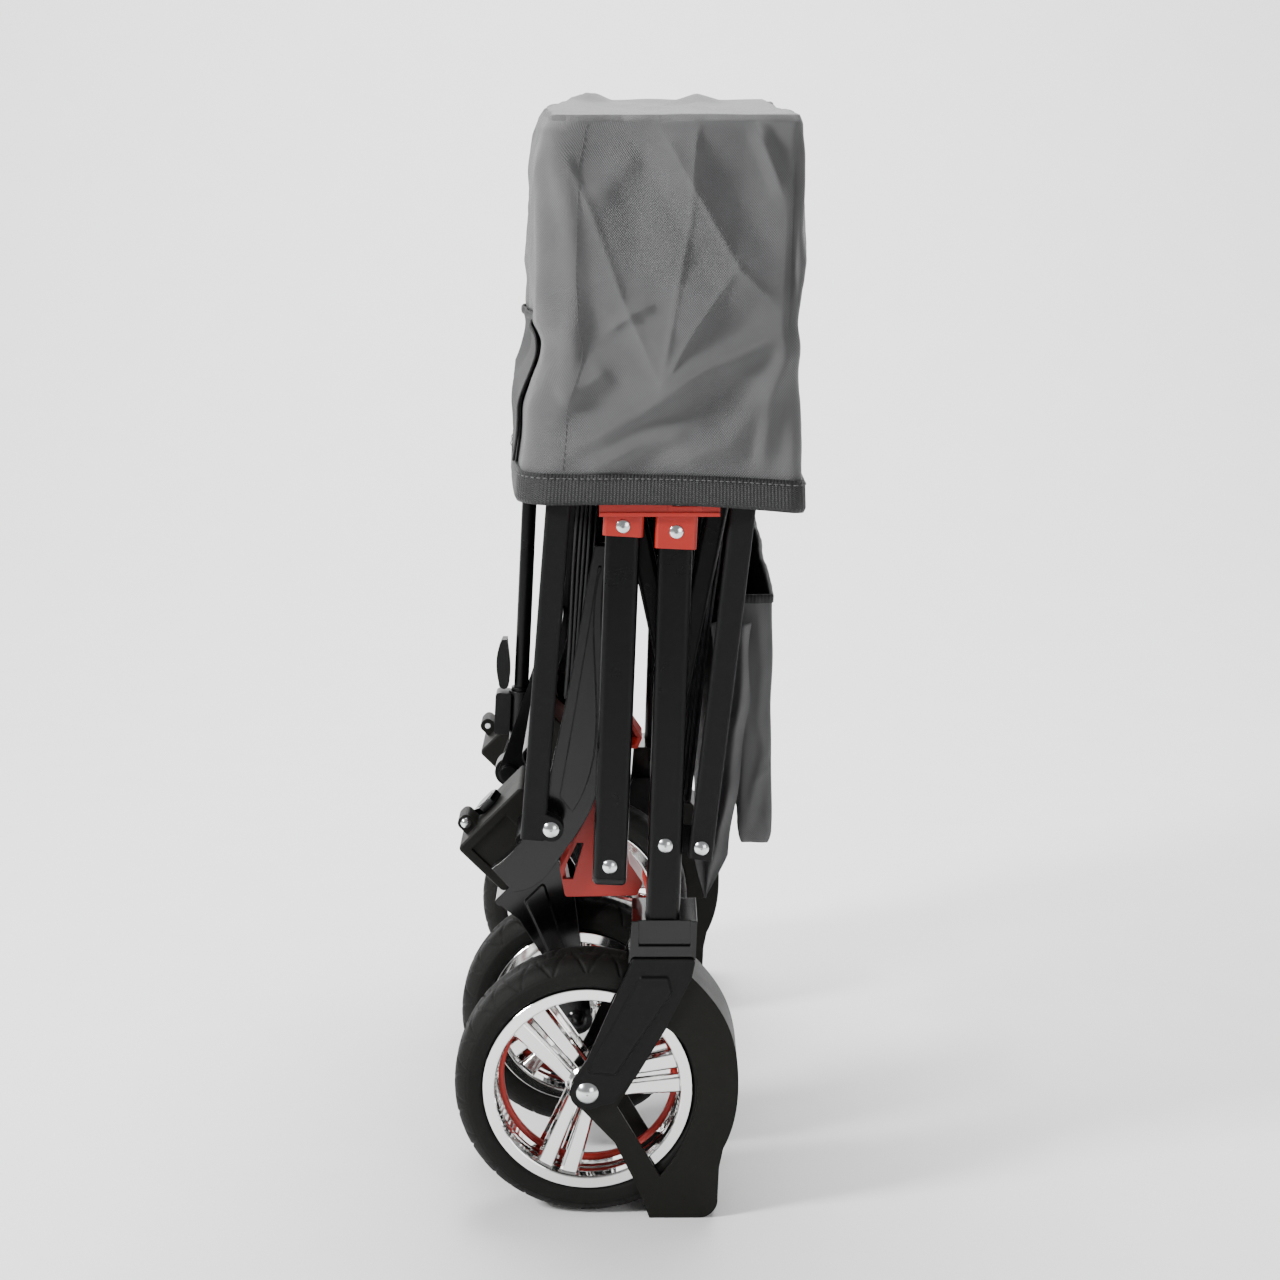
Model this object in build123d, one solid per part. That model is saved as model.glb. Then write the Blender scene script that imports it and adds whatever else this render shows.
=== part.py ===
from build123d import *
import math
import os

# Folding wagon with a pull handle, stood on its rear wheels and fender feet in its folded, covered state.
# Millimetres. Z is up, the wagon's front faces -X and its left side is -Y. The origin is on the ground,
# under the middle of the whole object.

# ---------------------------------------------------------------- driving dimensions
FORK_FACE = 291.5           # outer face of the rear forks, from the middle of the wagon
REAR_WHEEL_R = 100.0
REAR_WHEEL_W = 49.0
REAR_AXLE = (-27.0, REAR_WHEEL_R)
FRONT_WHEEL_R = 91.0
FRONT_WHEEL_W = 42.0
CASTER_Y = 149.0            # middle plane of a front wheel
TYRE_DEPTH = 21.5           # tread to rim seat
FORK_PLATE = 3.0
FENDER_PLATE = 2.5
TYRE_GAP = 2.0              # fender side plate to tyre side

RAIL_W = 25.0               # side rail, seen from the side
RAIL_D = 21.0               # side rail, across the wagon
RAIL_WALL = 1.6
RAIL_CORNER = 4.5
RAIL_FACE = 283.0           # outer face of the side rails
POST_W = 18.0
POST_D = 12.0
POST_FACE = 283.0
TOP_RAIL_W = 16.0
TOP_RAIL_D = 12.0
REAR_TOP_RAIL_FACE = 256.0
FRONT_TOP_RAIL_FACE = 240.0

HUB_LOW, HUB_HIGH = 532.0, 566.0
HUB_FRONT, HUB_REAR = -17.0, 69.0
HUB_FACE = 288.0
HUB_DEPTH = 31.0
LIP = 1.0                   # how far the hub's lip and window frame stand proud
WINDOW = (44.0, 546.0)      # middle of the latch window
HUB_WALL = 2.6
HUB_PIN_Z = 545.0
HUB_PIN_R = 5.0
FRONT_HUB_PIN = (0.8, HUB_PIN_Z)
REAR_HUB_PIN = (38.5, HUB_PIN_Z)

FRONT_RAIL_PIVOT = (-10.0, 272.0)     # rivet of the front rail in the red bracket
REAR_RAIL_END = (28.5, 228.0)
REAR_RAIL_RIVET = (30.6, 288.0)
REAR_POST_PIVOT = (57.0, 286.0)
FRONT_POST_PIVOT = (-52.8, 300.0)
REAR_POST_TOP = (113.0, 775.0)
FRONT_POST_LOW = (-66.4, 292.0)
FRONT_POST_TOP = (-28.6, 753.0)
REAR_TOP_PIN_Z = 735.0
FRONT_TOP_PIN_Z = 712.0
TOP_BAR_DROP = 10.0          # top cross bars below the posts' ends
REAR_TOP_RAIL_LENGTH = 357.6
FRONT_TOP_RAIL_LENGTH = 335.0         # shorter, as its pin is lower: the two halves meet at one point when folded
TOP_HINGE_REST_X = 38.0               # where that point is, along the wagon

KINGPIN_HOUSING = (-86.0, 264.0)      # middle of the caster housing
KINGPIN_LEAN = -45.0                  # the kingpin stands upright once the wagon is open
HOUSING_L, HOUSING_H, HOUSING_W = 69.0, 50.0, 74.0
KINGPIN_R = 8.0
RUNNING_GAP = 0.06
CASTER_TRAIL, CASTER_DROP = -70.0, -139.0

HANDLE_HINGE = (-96.0, 272.0)
HANDLE_LOW = (-89.0, 284.0)
HANDLE_TOP = (-75.1, 552.0)
MID_BAR = (-66.0, 352.0)
BAR_R = 9.0
SMALL_BAR_R = 8.0

COVER_LOW, COVER_TOP = 545.0, 816.0
COVER_FACE = 292.2
COVER_WALL = 2.5

# ---------------------------------------------------------------- helpers


def slab(sketch, y_low, y_high):
    """An XZ outline given thickness across the wagon, from y_low to y_high."""
    return extrude(Plane.XZ.offset(-y_high) * sketch, amount=y_high - y_low)


def outline(*points):
    """A closed XZ outline with straight sides."""
    return make_face(Polyline(*points, close=True))


def disc(centre, radius):
    return Pos(centre[0], centre[1]) * Circle(radius)


def lean_of(low, high):
    """Degrees about Y that turn +Z into the line from low to high."""
    return math.degrees(math.atan2(high[0] - low[0], high[1] - low[1]))


def between(low, high, share):
    return (low[0] + (high[0] - low[0]) * share, low[1] + (high[1] - low[1]) * share)


def at_height(low, high, height):
    """The point of the line from low to high that is at this height."""
    return between(low, high, (height - low[1]) / (high[1] - low[1]))


def frame_between(low, high, y):
    """A place halfway along a line, with its +Z along the line."""
    middle = between(low, high, 0.5)
    return Location((middle[0], y, middle[1]), (0, lean_of(low, high), 0))


def box_bar(low, high, width, y_low, y_high, corner, wall=None):
    """A straight bar of rounded rectangular section, hollow if it has a wall."""
    length = math.dist(low, high)
    depth = y_high - y_low
    body = Box(width, depth, length)
    body = fillet(body.edges().filter_by(Axis.Z), corner)
    if wall:
        bore = Box(width - 2 * wall, depth - 2 * wall, length)
        body -= fillet(bore.edges().filter_by(Axis.Z), corner - wall)
    return frame_between(low, high, (y_low + y_high) / 2) * body


def cross_tube(centre, radius, y_low, y_high, wall=1.6):
    """A round tube across the wagon."""
    return slab(disc(centre, radius), y_low, y_high) - slab(disc(centre, radius - wall), y_low, y_high)


def pin(centre, radius, y_low, y_high):
    return slab(disc(centre, radius), y_low, y_high)


def domed_rivet(centre, head_r, head_h, shank_r, face, depth):
    """A rivet along +Y with its domed head standing outside face, a negative y."""
    dome_r = (head_r ** 2 + head_h ** 2) / (2 * head_h)
    half_angle = math.asin(head_r / dome_r) / 2
    crown = (dome_r * math.sin(half_angle), head_h - dome_r * (1 - math.cos(half_angle)))
    half = make_face([
        Line((0, -depth), (shank_r, -depth)),
        Line((shank_r, -depth), (shank_r, 0)),
        Line((shank_r, 0), (head_r, 0)),
        ThreePointArc((head_r, 0), crown, (0, head_h)),
        Line((0, head_h), (0, -depth)),
    ])
    return Pos(centre[0], face, centre[1]) * Rot(180, 0, 0) * revolve(Plane.XY * half, Axis.Y)


def other_side(shape):
    return mirror(shape, about=Plane.XZ)


def as_list(shape):
    """The separate solids of a shape or of a list of shapes."""
    if isinstance(shape, (list, tuple)):
        return [solid for item in shape for solid in as_list(item)]
    return list(shape.solids())


nodes = {}


def add(name, *shapes):
    solids = as_list(list(shapes))
    nodes[name] = solids[0] if len(solids) == 1 else Compound(children=solids)


def add_pair(name, left_shape):
    add(name + "_left", left_shape)
    add(name + "_right", other_side(left_shape))


def add_both(name, left_shape):
    """Both sides' copies in one node."""
    add(name, left_shape, other_side(left_shape))


# ---------------------------------------------------------------- wheels


def tyre(centre, y_middle, radius, width):
    """A tyre with a crowned tread and rounded shoulders, around an axle along Y."""
    half = width / 2
    seat = radius - TYRE_DEPTH
    section = make_face([
        Line((seat, -half + 3), (seat, half - 3)),
        Line((seat, half - 3), (seat + 3, half)),
        Line((seat + 3, half), (radius - 9, half)),
        ThreePointArc((radius - 9, half), (radius - 3.2, half - 3.4), (radius - 1, half - 10)),
        ThreePointArc((radius - 1, half - 10), (radius, 0), (radius - 1, 10 - half)),
        ThreePointArc((radius - 1, 10 - half), (radius - 3.2, 3.4 - half), (radius - 9, -half)),
        Line((radius - 9, -half), (seat + 3, -half)),
        Line((seat + 3, -half), (seat, 3 - half)),
    ])
    ring = revolve(Plane.XY * section, Axis.Y)
    return Pos(centre[0], y_middle, centre[1]) * ring


def rim(centre, y_middle, radius, width, bore_r, turn):
    """A rim with a bright lip, a dished web of three slotted double spokes and a hub."""
    half = width / 2
    seat = radius - TYRE_DEPTH
    lip = 8.0
    section = make_face(Polyline(
        (seat - 4, -half + 3), (seat, -half + 3), (seat, half - 3), (seat - 4, half - 3), (seat - 4, half),
        (seat - lip, half), (seat - lip - 2.5, half - 6), (seat - 6, half - 12), (seat - 6, 12 - half),
        (seat - lip - 2.5, 6 - half), (seat - lip, -half), (seat - 4, -half), close=True))
    barrel = revolve(Plane.XY * section, Axis.Y)
    hub_r = 15.0
    spokes = Part()
    for side in (0, 120, 240):
        for arm in (-1, 1):
            angle = turn + side + arm * 13
            reach = seat - 7
            spoke = Pos((hub_r + reach) / 2 - 2, 0) * Rectangle(reach - hub_r + 8, 9.5)
            blade = Plane.XZ.offset(-8) * Rot(0, 0, angle) * spoke
            spokes += extrude(blade, amount=16)
        bridge = Rot(0, 0, turn + side) * Pos(seat * 0.62, 0) * Rectangle(7, 24)
        spokes += extrude(Plane.XZ.offset(-5) * bridge, amount=10)
    hub = slab(Circle(hub_r), -half + 5, half - 5)
    bore = slab(Circle(bore_r), -half, half)
    wheel = barrel + spokes + hub - bore
    return Pos(centre[0], y_middle, centre[1]) * wheel


REAR_TYRE_FACE = FORK_FACE - FORK_PLATE - FENDER_PLATE - TYRE_GAP
REAR_WHEEL_Y = -(REAR_TYRE_FACE - REAR_WHEEL_W / 2)
rear_rail_foot = between(REAR_RAIL_END, REAR_HUB_PIN, -0.02)
REAR_INNER_FENDER = -(REAR_TYRE_FACE - REAR_WHEEL_W - TYRE_GAP)
AXLE_R = 6.0
add_pair("rear_tyre", tyre(REAR_AXLE, REAR_WHEEL_Y, REAR_WHEEL_R, REAR_WHEEL_W))
add_pair("rear_rim", rim(REAR_AXLE, REAR_WHEEL_Y, REAR_WHEEL_R, REAR_WHEEL_W, AXLE_R + RUNNING_GAP, 5))


def caster(shape):
    """Places a shape drawn about an upright kingpin, wheel in the y = 0 plane, on the left front caster."""
    return Location((KINGPIN_HOUSING[0], -CASTER_Y, KINGPIN_HOUSING[1]), (0, KINGPIN_LEAN, 0)) * shape


FRONT_AXLE_LOCAL = (CASTER_TRAIL, CASTER_DROP)
add_pair("front_tyre", caster(tyre(FRONT_AXLE_LOCAL, 0, FRONT_WHEEL_R, FRONT_WHEEL_W)))
add_pair("front_rim", caster(rim(FRONT_AXLE_LOCAL, 0, FRONT_WHEEL_R, FRONT_WHEEL_W,
                                 AXLE_R - 1 + RUNNING_GAP, 20)))

# ---------------------------------------------------------------- rear fork, fender and axle


def fork_arm():
    """The outer fork arm, from the rail bracket down to the axle, with a raised tapering rib."""
    face = -FORK_FACE
    arm = outline((6, 204), (3, 195), (-10, 166), (-27, 126), (-38, 110), (-27, 88), (-8, 92),
                  (10, 114), (31, 150), (50, 189), (53, 204))
    arm = fillet(arm.vertices(), 3) + disc(REAR_AXLE, 13)
    rib = outline((12, 191), (33, 191), (36, 178), (-6, 114), (-28, 116))
    plate = slab(arm, face, face + FORK_PLATE)
    rib_body = extrude(Plane.XZ.offset(-face) * fillet(rib.vertices(), 2.5), amount=1.6, taper=35)
    return plate + rib_body - pin(REAR_AXLE, AXLE_R, face - 5, face + 10)


FENDER_EDGE = ((50, 189), (61, 177), (75, 156), (83, 131), (85, 105), (82, 77), (74, 55), (71, 40), (70, 16))


def fender_outline():
    """Side view of the fender with its standing foot."""
    rear_edge = Spline(*FENDER_EDGE[:7])
    return make_face([
        rear_edge,
        Line(FENDER_EDGE[6], FENDER_EDGE[7]),
        Line(FENDER_EDGE[7], FENDER_EDGE[8]),
        ThreePointArc(FENDER_EDGE[8], (66, 4.5), (55, 0)),
        Line((55, 0), (19, 0)),
        Line((19, 0), (8, 29)),
        Line((8, 29), (-7, 60)),
        Line((-7, 60), (-33, 88)),
        Line((-33, 88), (-36, 108)),
        Line((-36, 108), (-20, 118)),
        Line((-20, 118), (6, 160)),
        Line((6, 160), (20, 189)),
        Line((20, 189), FENDER_EDGE[0]),
    ])


def fender_window():
    """The opening between the fork arm, the lower leg and the fender's curved band."""
    return make_face([
        Line((27, 33), (-5, 88)),
        Line((-5, 88), (10, 114)),
        Line((10, 114), (31, 150)),
        Spline((31, 150), (44, 138), (53, 118), (53.5, 87), (44, 59), (27, 33)),
    ])


def fender():
    """Side plates both sides of the tyre, a curved band over the tread and a foot that meets the ground."""
    outer_low = -FORK_FACE + FORK_PLATE
    inner_high = REAR_INNER_FENDER + FENDER_PLATE
    profile = fender_outline()
    sides = slab(profile, outer_low, outer_low + FENDER_PLATE)
    sides += slab(profile, REAR_INNER_FENDER, inner_high)
    sides -= slab(fender_window(), outer_low - 1, inner_high + 1)
    tread_zone = disc(REAR_AXLE, REAR_WHEEL_R + 4.5) + Pos(-60, 100) * Rectangle(150, 260)
    band = slab(profile, outer_low, inner_high) - slab(tread_zone, outer_low - 1, inner_high + 1)
    body = sides + band
    return body - pin(REAR_AXLE, AXLE_R, outer_low - 1, inner_high + 1)


def inner_fork_arm():
    low = REAR_INNER_FENDER + FENDER_PLATE
    arm = outline((6, 204), (-27, 126), (-38, 105), (-27, 88), (-8, 92), (31, 150), (53, 204))
    plate = slab(arm + disc(REAR_AXLE, 13), low, low + FORK_PLATE)
    return plate - pin(REAR_AXLE, AXLE_R, low - 1, low + 10)


def rail_bracket():
    """The channel that clasps the rail's lower end between two ears, on top of the fork arms."""
    low, high = -FORK_FACE + FORK_PLATE, REAR_INNER_FENDER + FENDER_PLATE
    block = slab(outline((6, 190), (3, 195), (6, 232), (54, 232), (53, 204), (50, 189)), low, high)
    notch_y = low + 3.0
    notch = slab(outline((11, 213), (11, 240), (49, 240), (49, 213)), low - 1, notch_y)
    seat = box_bar(rear_rail_foot, REAR_HUB_PIN, RAIL_W, -RAIL_FACE, -RAIL_FACE + RAIL_D, RAIL_CORNER)
    clear = slab(disc(REAR_AXLE, REAR_WHEEL_R + 4.5), low - 1, high + 1)
    clear += slab(fender_outline(), low - 1, high + 1)
    return block - notch - seat - clear


def rear_axle_pin():
    """The stub axle with its domed cap outside and its nut inside."""
    face = -FORK_FACE
    inner = REAR_INNER_FENDER + FENDER_PLATE + FORK_PLATE
    shaft = domed_rivet(REAR_AXLE, 8.5, 4.0, AXLE_R, face, inner + 8 - face)
    nut = slab(Pos(*REAR_AXLE) * RegularPolygon(9.5, 6), inner, inner + 6)
    return shaft + nut


def post_bracket():
    """Two ears on the rear rail that hold the foot of the rear post."""
    ear = make_hull((disc(REAR_RAIL_RIVET, 11) + disc(REAR_POST_PIVOT, 10)).edges())
    holes = disc(REAR_POST_PIVOT, 4.0) + disc(REAR_RAIL_RIVET, 4.0)
    inner = -RAIL_FACE + RAIL_D
    return slab(ear - holes, inner, inner + 2.5)


add_both("fork_arms", fork_arm())
add_pair("fender", fender())
add_both("inner_fork_arms", inner_fork_arm())
add_both("rail_brackets", rail_bracket())
add_both("rear_axles", rear_axle_pin())
add_both("post_brackets", post_bracket())

# ---------------------------------------------------------------- side rails and the red folding hub


def rail(low, high):
    return box_bar(low, high, RAIL_W, -RAIL_FACE, -RAIL_FACE + RAIL_D, RAIL_CORNER, RAIL_WALL)


FRONT_BOLT = (0.0, 524.5)
REAR_BOLT = (38.0, 520.5)
BOLT_SHANK_R = 3.0
BOLT_HEAD_R, BOLT_HEAD_H = 5.2, 1.6
TRACK_DEPTH = 1.5           # grooves inside the hub that the collars' bolt heads swing along


def hub_body():
    """An inverted channel with a lip, a latch window and two pivots, open at both ends and below."""
    low, high = -HUB_FACE, -HUB_FACE + HUB_DEPTH
    middle_x, middle_z = (HUB_FRONT + HUB_REAR) / 2, (HUB_LOW + HUB_HIGH) / 2
    length, height = HUB_REAR - HUB_FRONT, HUB_HIGH - HUB_LOW
    shell = Pos(middle_x, (low + high) / 2, middle_z) * Box(length, high - low, height)
    shell = fillet(shell.edges().filter_by(Axis.X).group_by(Axis.Z)[-1], 3)
    cavity = Pos(middle_x, (low + high) / 2, middle_z - HUB_WALL)
    cavity = cavity * Box(length + 2, high - low - 2 * HUB_WALL, height)
    lip = Pos(middle_x, low - LIP / 2, HUB_LOW + 1.5) * Box(length, LIP, 3)
    frame = Pos(WINDOW[0], low - LIP / 2, WINDOW[1]) * Box(24, LIP, 19)
    window = Pos(WINDOW[0], low, WINDOW[1]) * Box(18, 8, 13)
    body = shell - cavity + lip + frame - window
    for point, bolt in ((FRONT_HUB_PIN, FRONT_BOLT), (REAR_HUB_PIN, REAR_BOLT)):
        body -= pin(point, HUB_PIN_R, low + HUB_WALL, high + 1)
        reach = math.dist(point, bolt)
        track = disc(point, reach + BOLT_HEAD_R + 0.6) - disc(point, reach - BOLT_HEAD_R - 0.6)
        body -= slab(track, low + HUB_WALL - TRACK_DEPTH, low + HUB_WALL + 0.1)
    return body


HUB_CAVITY_LOW = -HUB_FACE + HUB_WALL
HUB_CAVITY_HIGH = -HUB_FACE + HUB_DEPTH - HUB_WALL


def socket(hub_pin, rail_top, rail_foot, width, foot_z):
    """A red collar clamped on a rail's upper end, with a rounded lug that turns in the hub."""
    low, high = HUB_CAVITY_LOW + 0.4, HUB_CAVITY_HIGH - 0.4
    foot = at_height(rail_foot, rail_top, foot_z)
    collar = box_bar(foot, (hub_pin[0], hub_pin[1] - 9), width, low, high, 3.0)
    lug = slab(disc(hub_pin, 14), low, high)
    neck = box_bar((hub_pin[0], hub_pin[1] - 14), hub_pin, 27.0, low, high, 3.0)
    body = collar + lug + neck
    seat_top = between(foot, hub_pin, 0.55)
    seat = box_bar(between(foot, hub_pin, -0.3), seat_top, RAIL_W, -RAIL_FACE, -RAIL_FACE + RAIL_D, RAIL_CORNER)
    return body - seat - pin(hub_pin, HUB_PIN_R + RUNNING_GAP, low - 1, high + 1)


FRONT_SOCKET_Z, REAR_SOCKET_Z = 517.0, 508.0
front_rail_top = between(at_height(FRONT_RAIL_PIVOT, FRONT_HUB_PIN, FRONT_SOCKET_Z), FRONT_HUB_PIN, 0.55)
rear_rail_top = between(at_height(REAR_RAIL_END, REAR_HUB_PIN, REAR_SOCKET_Z), REAR_HUB_PIN, 0.55)
front_rail_foot = between(FRONT_RAIL_PIVOT, FRONT_HUB_PIN, -0.035)
RIVET_R = 4.0
front_rail = rail(front_rail_foot, front_rail_top) - pin(FRONT_RAIL_PIVOT, RIVET_R + RUNNING_GAP, -300, -250)
rear_rail = rail(rear_rail_foot, rear_rail_top) - pin(REAR_RAIL_RIVET, RIVET_R, -300, -250)
front_socket = socket(FRONT_HUB_PIN, front_rail_top, front_rail_foot, 29.0, FRONT_SOCKET_Z)
rear_socket = socket(REAR_HUB_PIN, rear_rail_top, rear_rail_foot, 30.0, REAR_SOCKET_Z)

SOCKET_FACE = HUB_CAVITY_LOW + 0.4
front_bolt = domed_rivet(FRONT_BOLT, BOLT_HEAD_R, BOLT_HEAD_H, BOLT_SHANK_R, SOCKET_FACE, 24.0)
rear_bolt = domed_rivet(REAR_BOLT, BOLT_HEAD_R, BOLT_HEAD_H, BOLT_SHANK_R, SOCKET_FACE, 24.0)
front_bolt_hole = pin(FRONT_BOLT, BOLT_SHANK_R, -300, SOCKET_FACE + 24.0)
rear_bolt_hole = pin(REAR_BOLT, BOLT_SHANK_R, -300, SOCKET_FACE + 24.0)

add_both("front_rails", front_rail - front_bolt_hole)
add_both("rear_rails", rear_rail - rear_bolt_hole)
add_both("front_sockets", front_socket - front_bolt_hole)
add_both("rear_sockets", rear_socket - rear_bolt_hole)
add_both("hubs", hub_body())

hub_pins = [pin(point, HUB_PIN_R, HUB_CAVITY_LOW, -HUB_FACE + HUB_DEPTH)
            for point in (FRONT_HUB_PIN, REAR_HUB_PIN)]
add("hub_pins", *hub_pins, *[other_side(item) for item in hub_pins])


def latch():
    """The latch catch in the hub's window, slid up against its spring to free the fold."""
    face = -HUB_FACE + 0.3
    return Pos(WINDOW[0], face + 0.9, WINDOW[1] - 2.2) * Box(17.4, 1.8, 8.2)


add_pair("latch", latch())

# rivets and the front rails' end caps
front_rail_rivet = domed_rivet(FRONT_RAIL_PIVOT, 5.6, 2.4, RIVET_R, -RAIL_FACE, RAIL_D + 24)
rear_rail_rivet = domed_rivet(REAR_RAIL_RIVET, 5.6, 2.4, RIVET_R, -RAIL_FACE, RAIL_D + 2.5)


def end_cap():
    """A rounded plug that closes the front rail's lower end."""
    reach = between(FRONT_RAIL_PIVOT, FRONT_HUB_PIN, -0.055)
    cap = box_bar(reach, front_rail_foot, RAIL_W, -RAIL_FACE, -RAIL_FACE + RAIL_D, RAIL_CORNER)
    return fillet(cap.faces().sort_by(Axis.Z)[0].edges(), 4)


add_both("front_rail_caps", end_cap())

# ---------------------------------------------------------------- posts, cross bars and top rails


def front_post():
    """The upright front post with its foot tab for the big rivet."""
    bar = box_bar(FRONT_POST_LOW, FRONT_POST_TOP, POST_W, -POST_FACE, -POST_FACE + POST_D, 3)
    tab = slab(make_hull((disc(FRONT_POST_PIVOT, 9) + disc((-62, 304), 9)).edges()),
               -POST_FACE, -POST_FACE + POST_D)
    return bar + tab - pin(FRONT_POST_PIVOT, RIVET_R + RUNNING_GAP, -300, -260)


def rear_post():
    """The upright rear post; its foot turns between the bracket and the rail's own face line."""
    bar = box_bar(between(REAR_POST_PIVOT, REAR_POST_TOP, -0.018), REAR_POST_TOP, POST_W, -POST_FACE,
                  -POST_FACE + POST_D, 3)
    spacer = slab(disc(REAR_POST_PIVOT, 8), -POST_FACE + POST_D, -RAIL_FACE + RAIL_D - 0.3)
    return bar + spacer - pin(REAR_POST_PIVOT, RIVET_R + RUNNING_GAP, -300, -255)


add_both("front_posts", front_post())
add_both("rear_posts", rear_post())
front_post_rivet = domed_rivet(FRONT_POST_PIVOT, 6.2, 2.6, RIVET_R, -POST_FACE - 0.2, 42)
rear_post_rivet = domed_rivet(REAR_POST_PIVOT, 5.6, 2.4, RIVET_R, -POST_FACE - 0.2, 24)

BAR_END = POST_FACE - POST_D
rear_bar_centre = at_height(REAR_POST_PIVOT, REAR_POST_TOP, REAR_POST_TOP[1] - TOP_BAR_DROP)
front_bar_centre = at_height(FRONT_POST_LOW, FRONT_POST_TOP, FRONT_POST_TOP[1] - TOP_BAR_DROP)
add("rear_top_bar", cross_tube(rear_bar_centre, BAR_R, -BAR_END, BAR_END))
add("front_top_bar", cross_tube(front_bar_centre, BAR_R, -BAR_END, BAR_END))

rear_top_pin = at_height(REAR_POST_PIVOT, REAR_POST_TOP, REAR_TOP_PIN_Z)
front_top_pin = at_height(FRONT_POST_LOW, FRONT_POST_TOP, FRONT_TOP_PIN_Z)


def hanging_end(hinge, length):
    """The free end of a top rail hanging from its hinge towards the middle."""
    across = TOP_HINGE_REST_X - hinge[0]
    return (TOP_HINGE_REST_X, hinge[1] - math.sqrt(length ** 2 - across ** 2))


def top_rail(hinge, length, face):
    end = hanging_end(hinge, length)
    bar = box_bar(end, hinge, TOP_RAIL_W, -face, -face + TOP_RAIL_D, 3, 1.4)
    eyes = slab(disc(hinge, TOP_RAIL_W / 2) + disc(end, TOP_RAIL_W / 2), -face, -face + TOP_RAIL_D)
    return bar + eyes - pin(hinge, 4 + RUNNING_GAP, -300, -200) - pin(end, 4, -300, -200)


def top_rail_pin(hinge, face):
    """The pin that carries a top rail, from the post's inner face, with a shoulder outside the rail."""
    post_inner = -POST_FACE + POST_D
    return pin(hinge, 4, post_inner, -face + TOP_RAIL_D + 2) + pin(hinge, 7, post_inner, -face - 0.4)


add_both("rear_top_rails", top_rail(rear_top_pin, REAR_TOP_RAIL_LENGTH, REAR_TOP_RAIL_FACE))
add_both("front_top_rails", top_rail(front_top_pin, FRONT_TOP_RAIL_LENGTH, FRONT_TOP_RAIL_FACE))
add_both("rear_top_pins", top_rail_pin(rear_top_pin, REAR_TOP_RAIL_FACE))
add_both("front_top_pins", top_rail_pin(front_top_pin, FRONT_TOP_RAIL_FACE))


# ---------------------------------------------------------------- front frame: curved arms, brackets, casters


def curved_arm():
    """The curved front arm that sweeps from beside the hub down to the caster housing."""
    shape = make_face([
        Spline((-9, 505), (-13, 390), (-17, 329), (-29, 298), (-47, 271), (-62, 252), (-82, 244)),
        Line((-82, 244), (-98, 262)),
        Spline((-98, 262), (-76, 283), (-63, 305), (-53, 340), (-39, 405), (-21, 505)),
        Line((-21, 505), (-9, 505)),
    ])
    body = slab(shape, -255, -241)
    rib = make_face([
        Spline((-16, 490), (-20, 392), (-25, 335), (-38, 306)),
        Line((-38, 306), (-47, 318)),
        Spline((-47, 318), (-41, 352), (-31, 410), (-18, 490)),
        Line((-18, 490), (-16, 490)),
    ])
    body += slab(rib, -257.5, -255)
    return body - pin(FRONT_POST_PIVOT, RIVET_R, -300, -200)


def red_bracket():
    """The red moulded bracket under the curved arm; its boss carries the front rail's rivet."""
    shape = outline((-18, 330), (-2, 300), (4, 262), (14, 247), (10, 237), (-44, 236), (-48, 258), (-32, 290))
    body = slab(fillet(shape.vertices(), 2.5), -241, -206)
    recess = slab(outline((-46, 250), (-38, 278), (-30, 278), (-38, 250)), -242, -236)
    boss = slab(disc(FRONT_RAIL_PIVOT, 12), -RAIL_FACE + RAIL_D + 0.3, -241)
    hollow = slab(offset(shape, -3.5), -237, -205)
    ribs = slab(disc(FRONT_RAIL_PIVOT, 13), -241, -206)
    body = body - recess - hollow + ribs + boss
    return body - pin(FRONT_RAIL_PIVOT, RIVET_R + RUNNING_GAP, -300, -216)


def housing():
    """The caster housing around the kingpin, drawn upright: x along the wagon, z along the kingpin."""
    body = Box(HOUSING_L, HOUSING_W, HOUSING_H)
    body = fillet(body.edges().filter_by(Axis.Y), 4)
    body = fillet(body.edges().group_by(Axis.Z)[-1], 2)
    recess = Pos(-8, -HOUSING_W / 2, 2) * Box(38, 4, 30)
    body -= recess
    lug = Pos(-19, -8, HOUSING_H / 2 + 6) * Box(12, 26, 14)
    lug = fillet(lug.edges().filter_by(Axis.Y).group_by(Axis.Z)[-1], 5)
    body += lug
    body -= slab(disc((20, 0), BAR_R), -HOUSING_W, HOUSING_W)
    body -= Cylinder(KINGPIN_R + RUNNING_GAP, 200)
    return body


def housing_bolt():
    """The bolt through the housing's lug."""
    return domed_rivet((-19, HOUSING_H / 2 + 7), 4.4, 2.5, 2.5, -21, 26)


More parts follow.
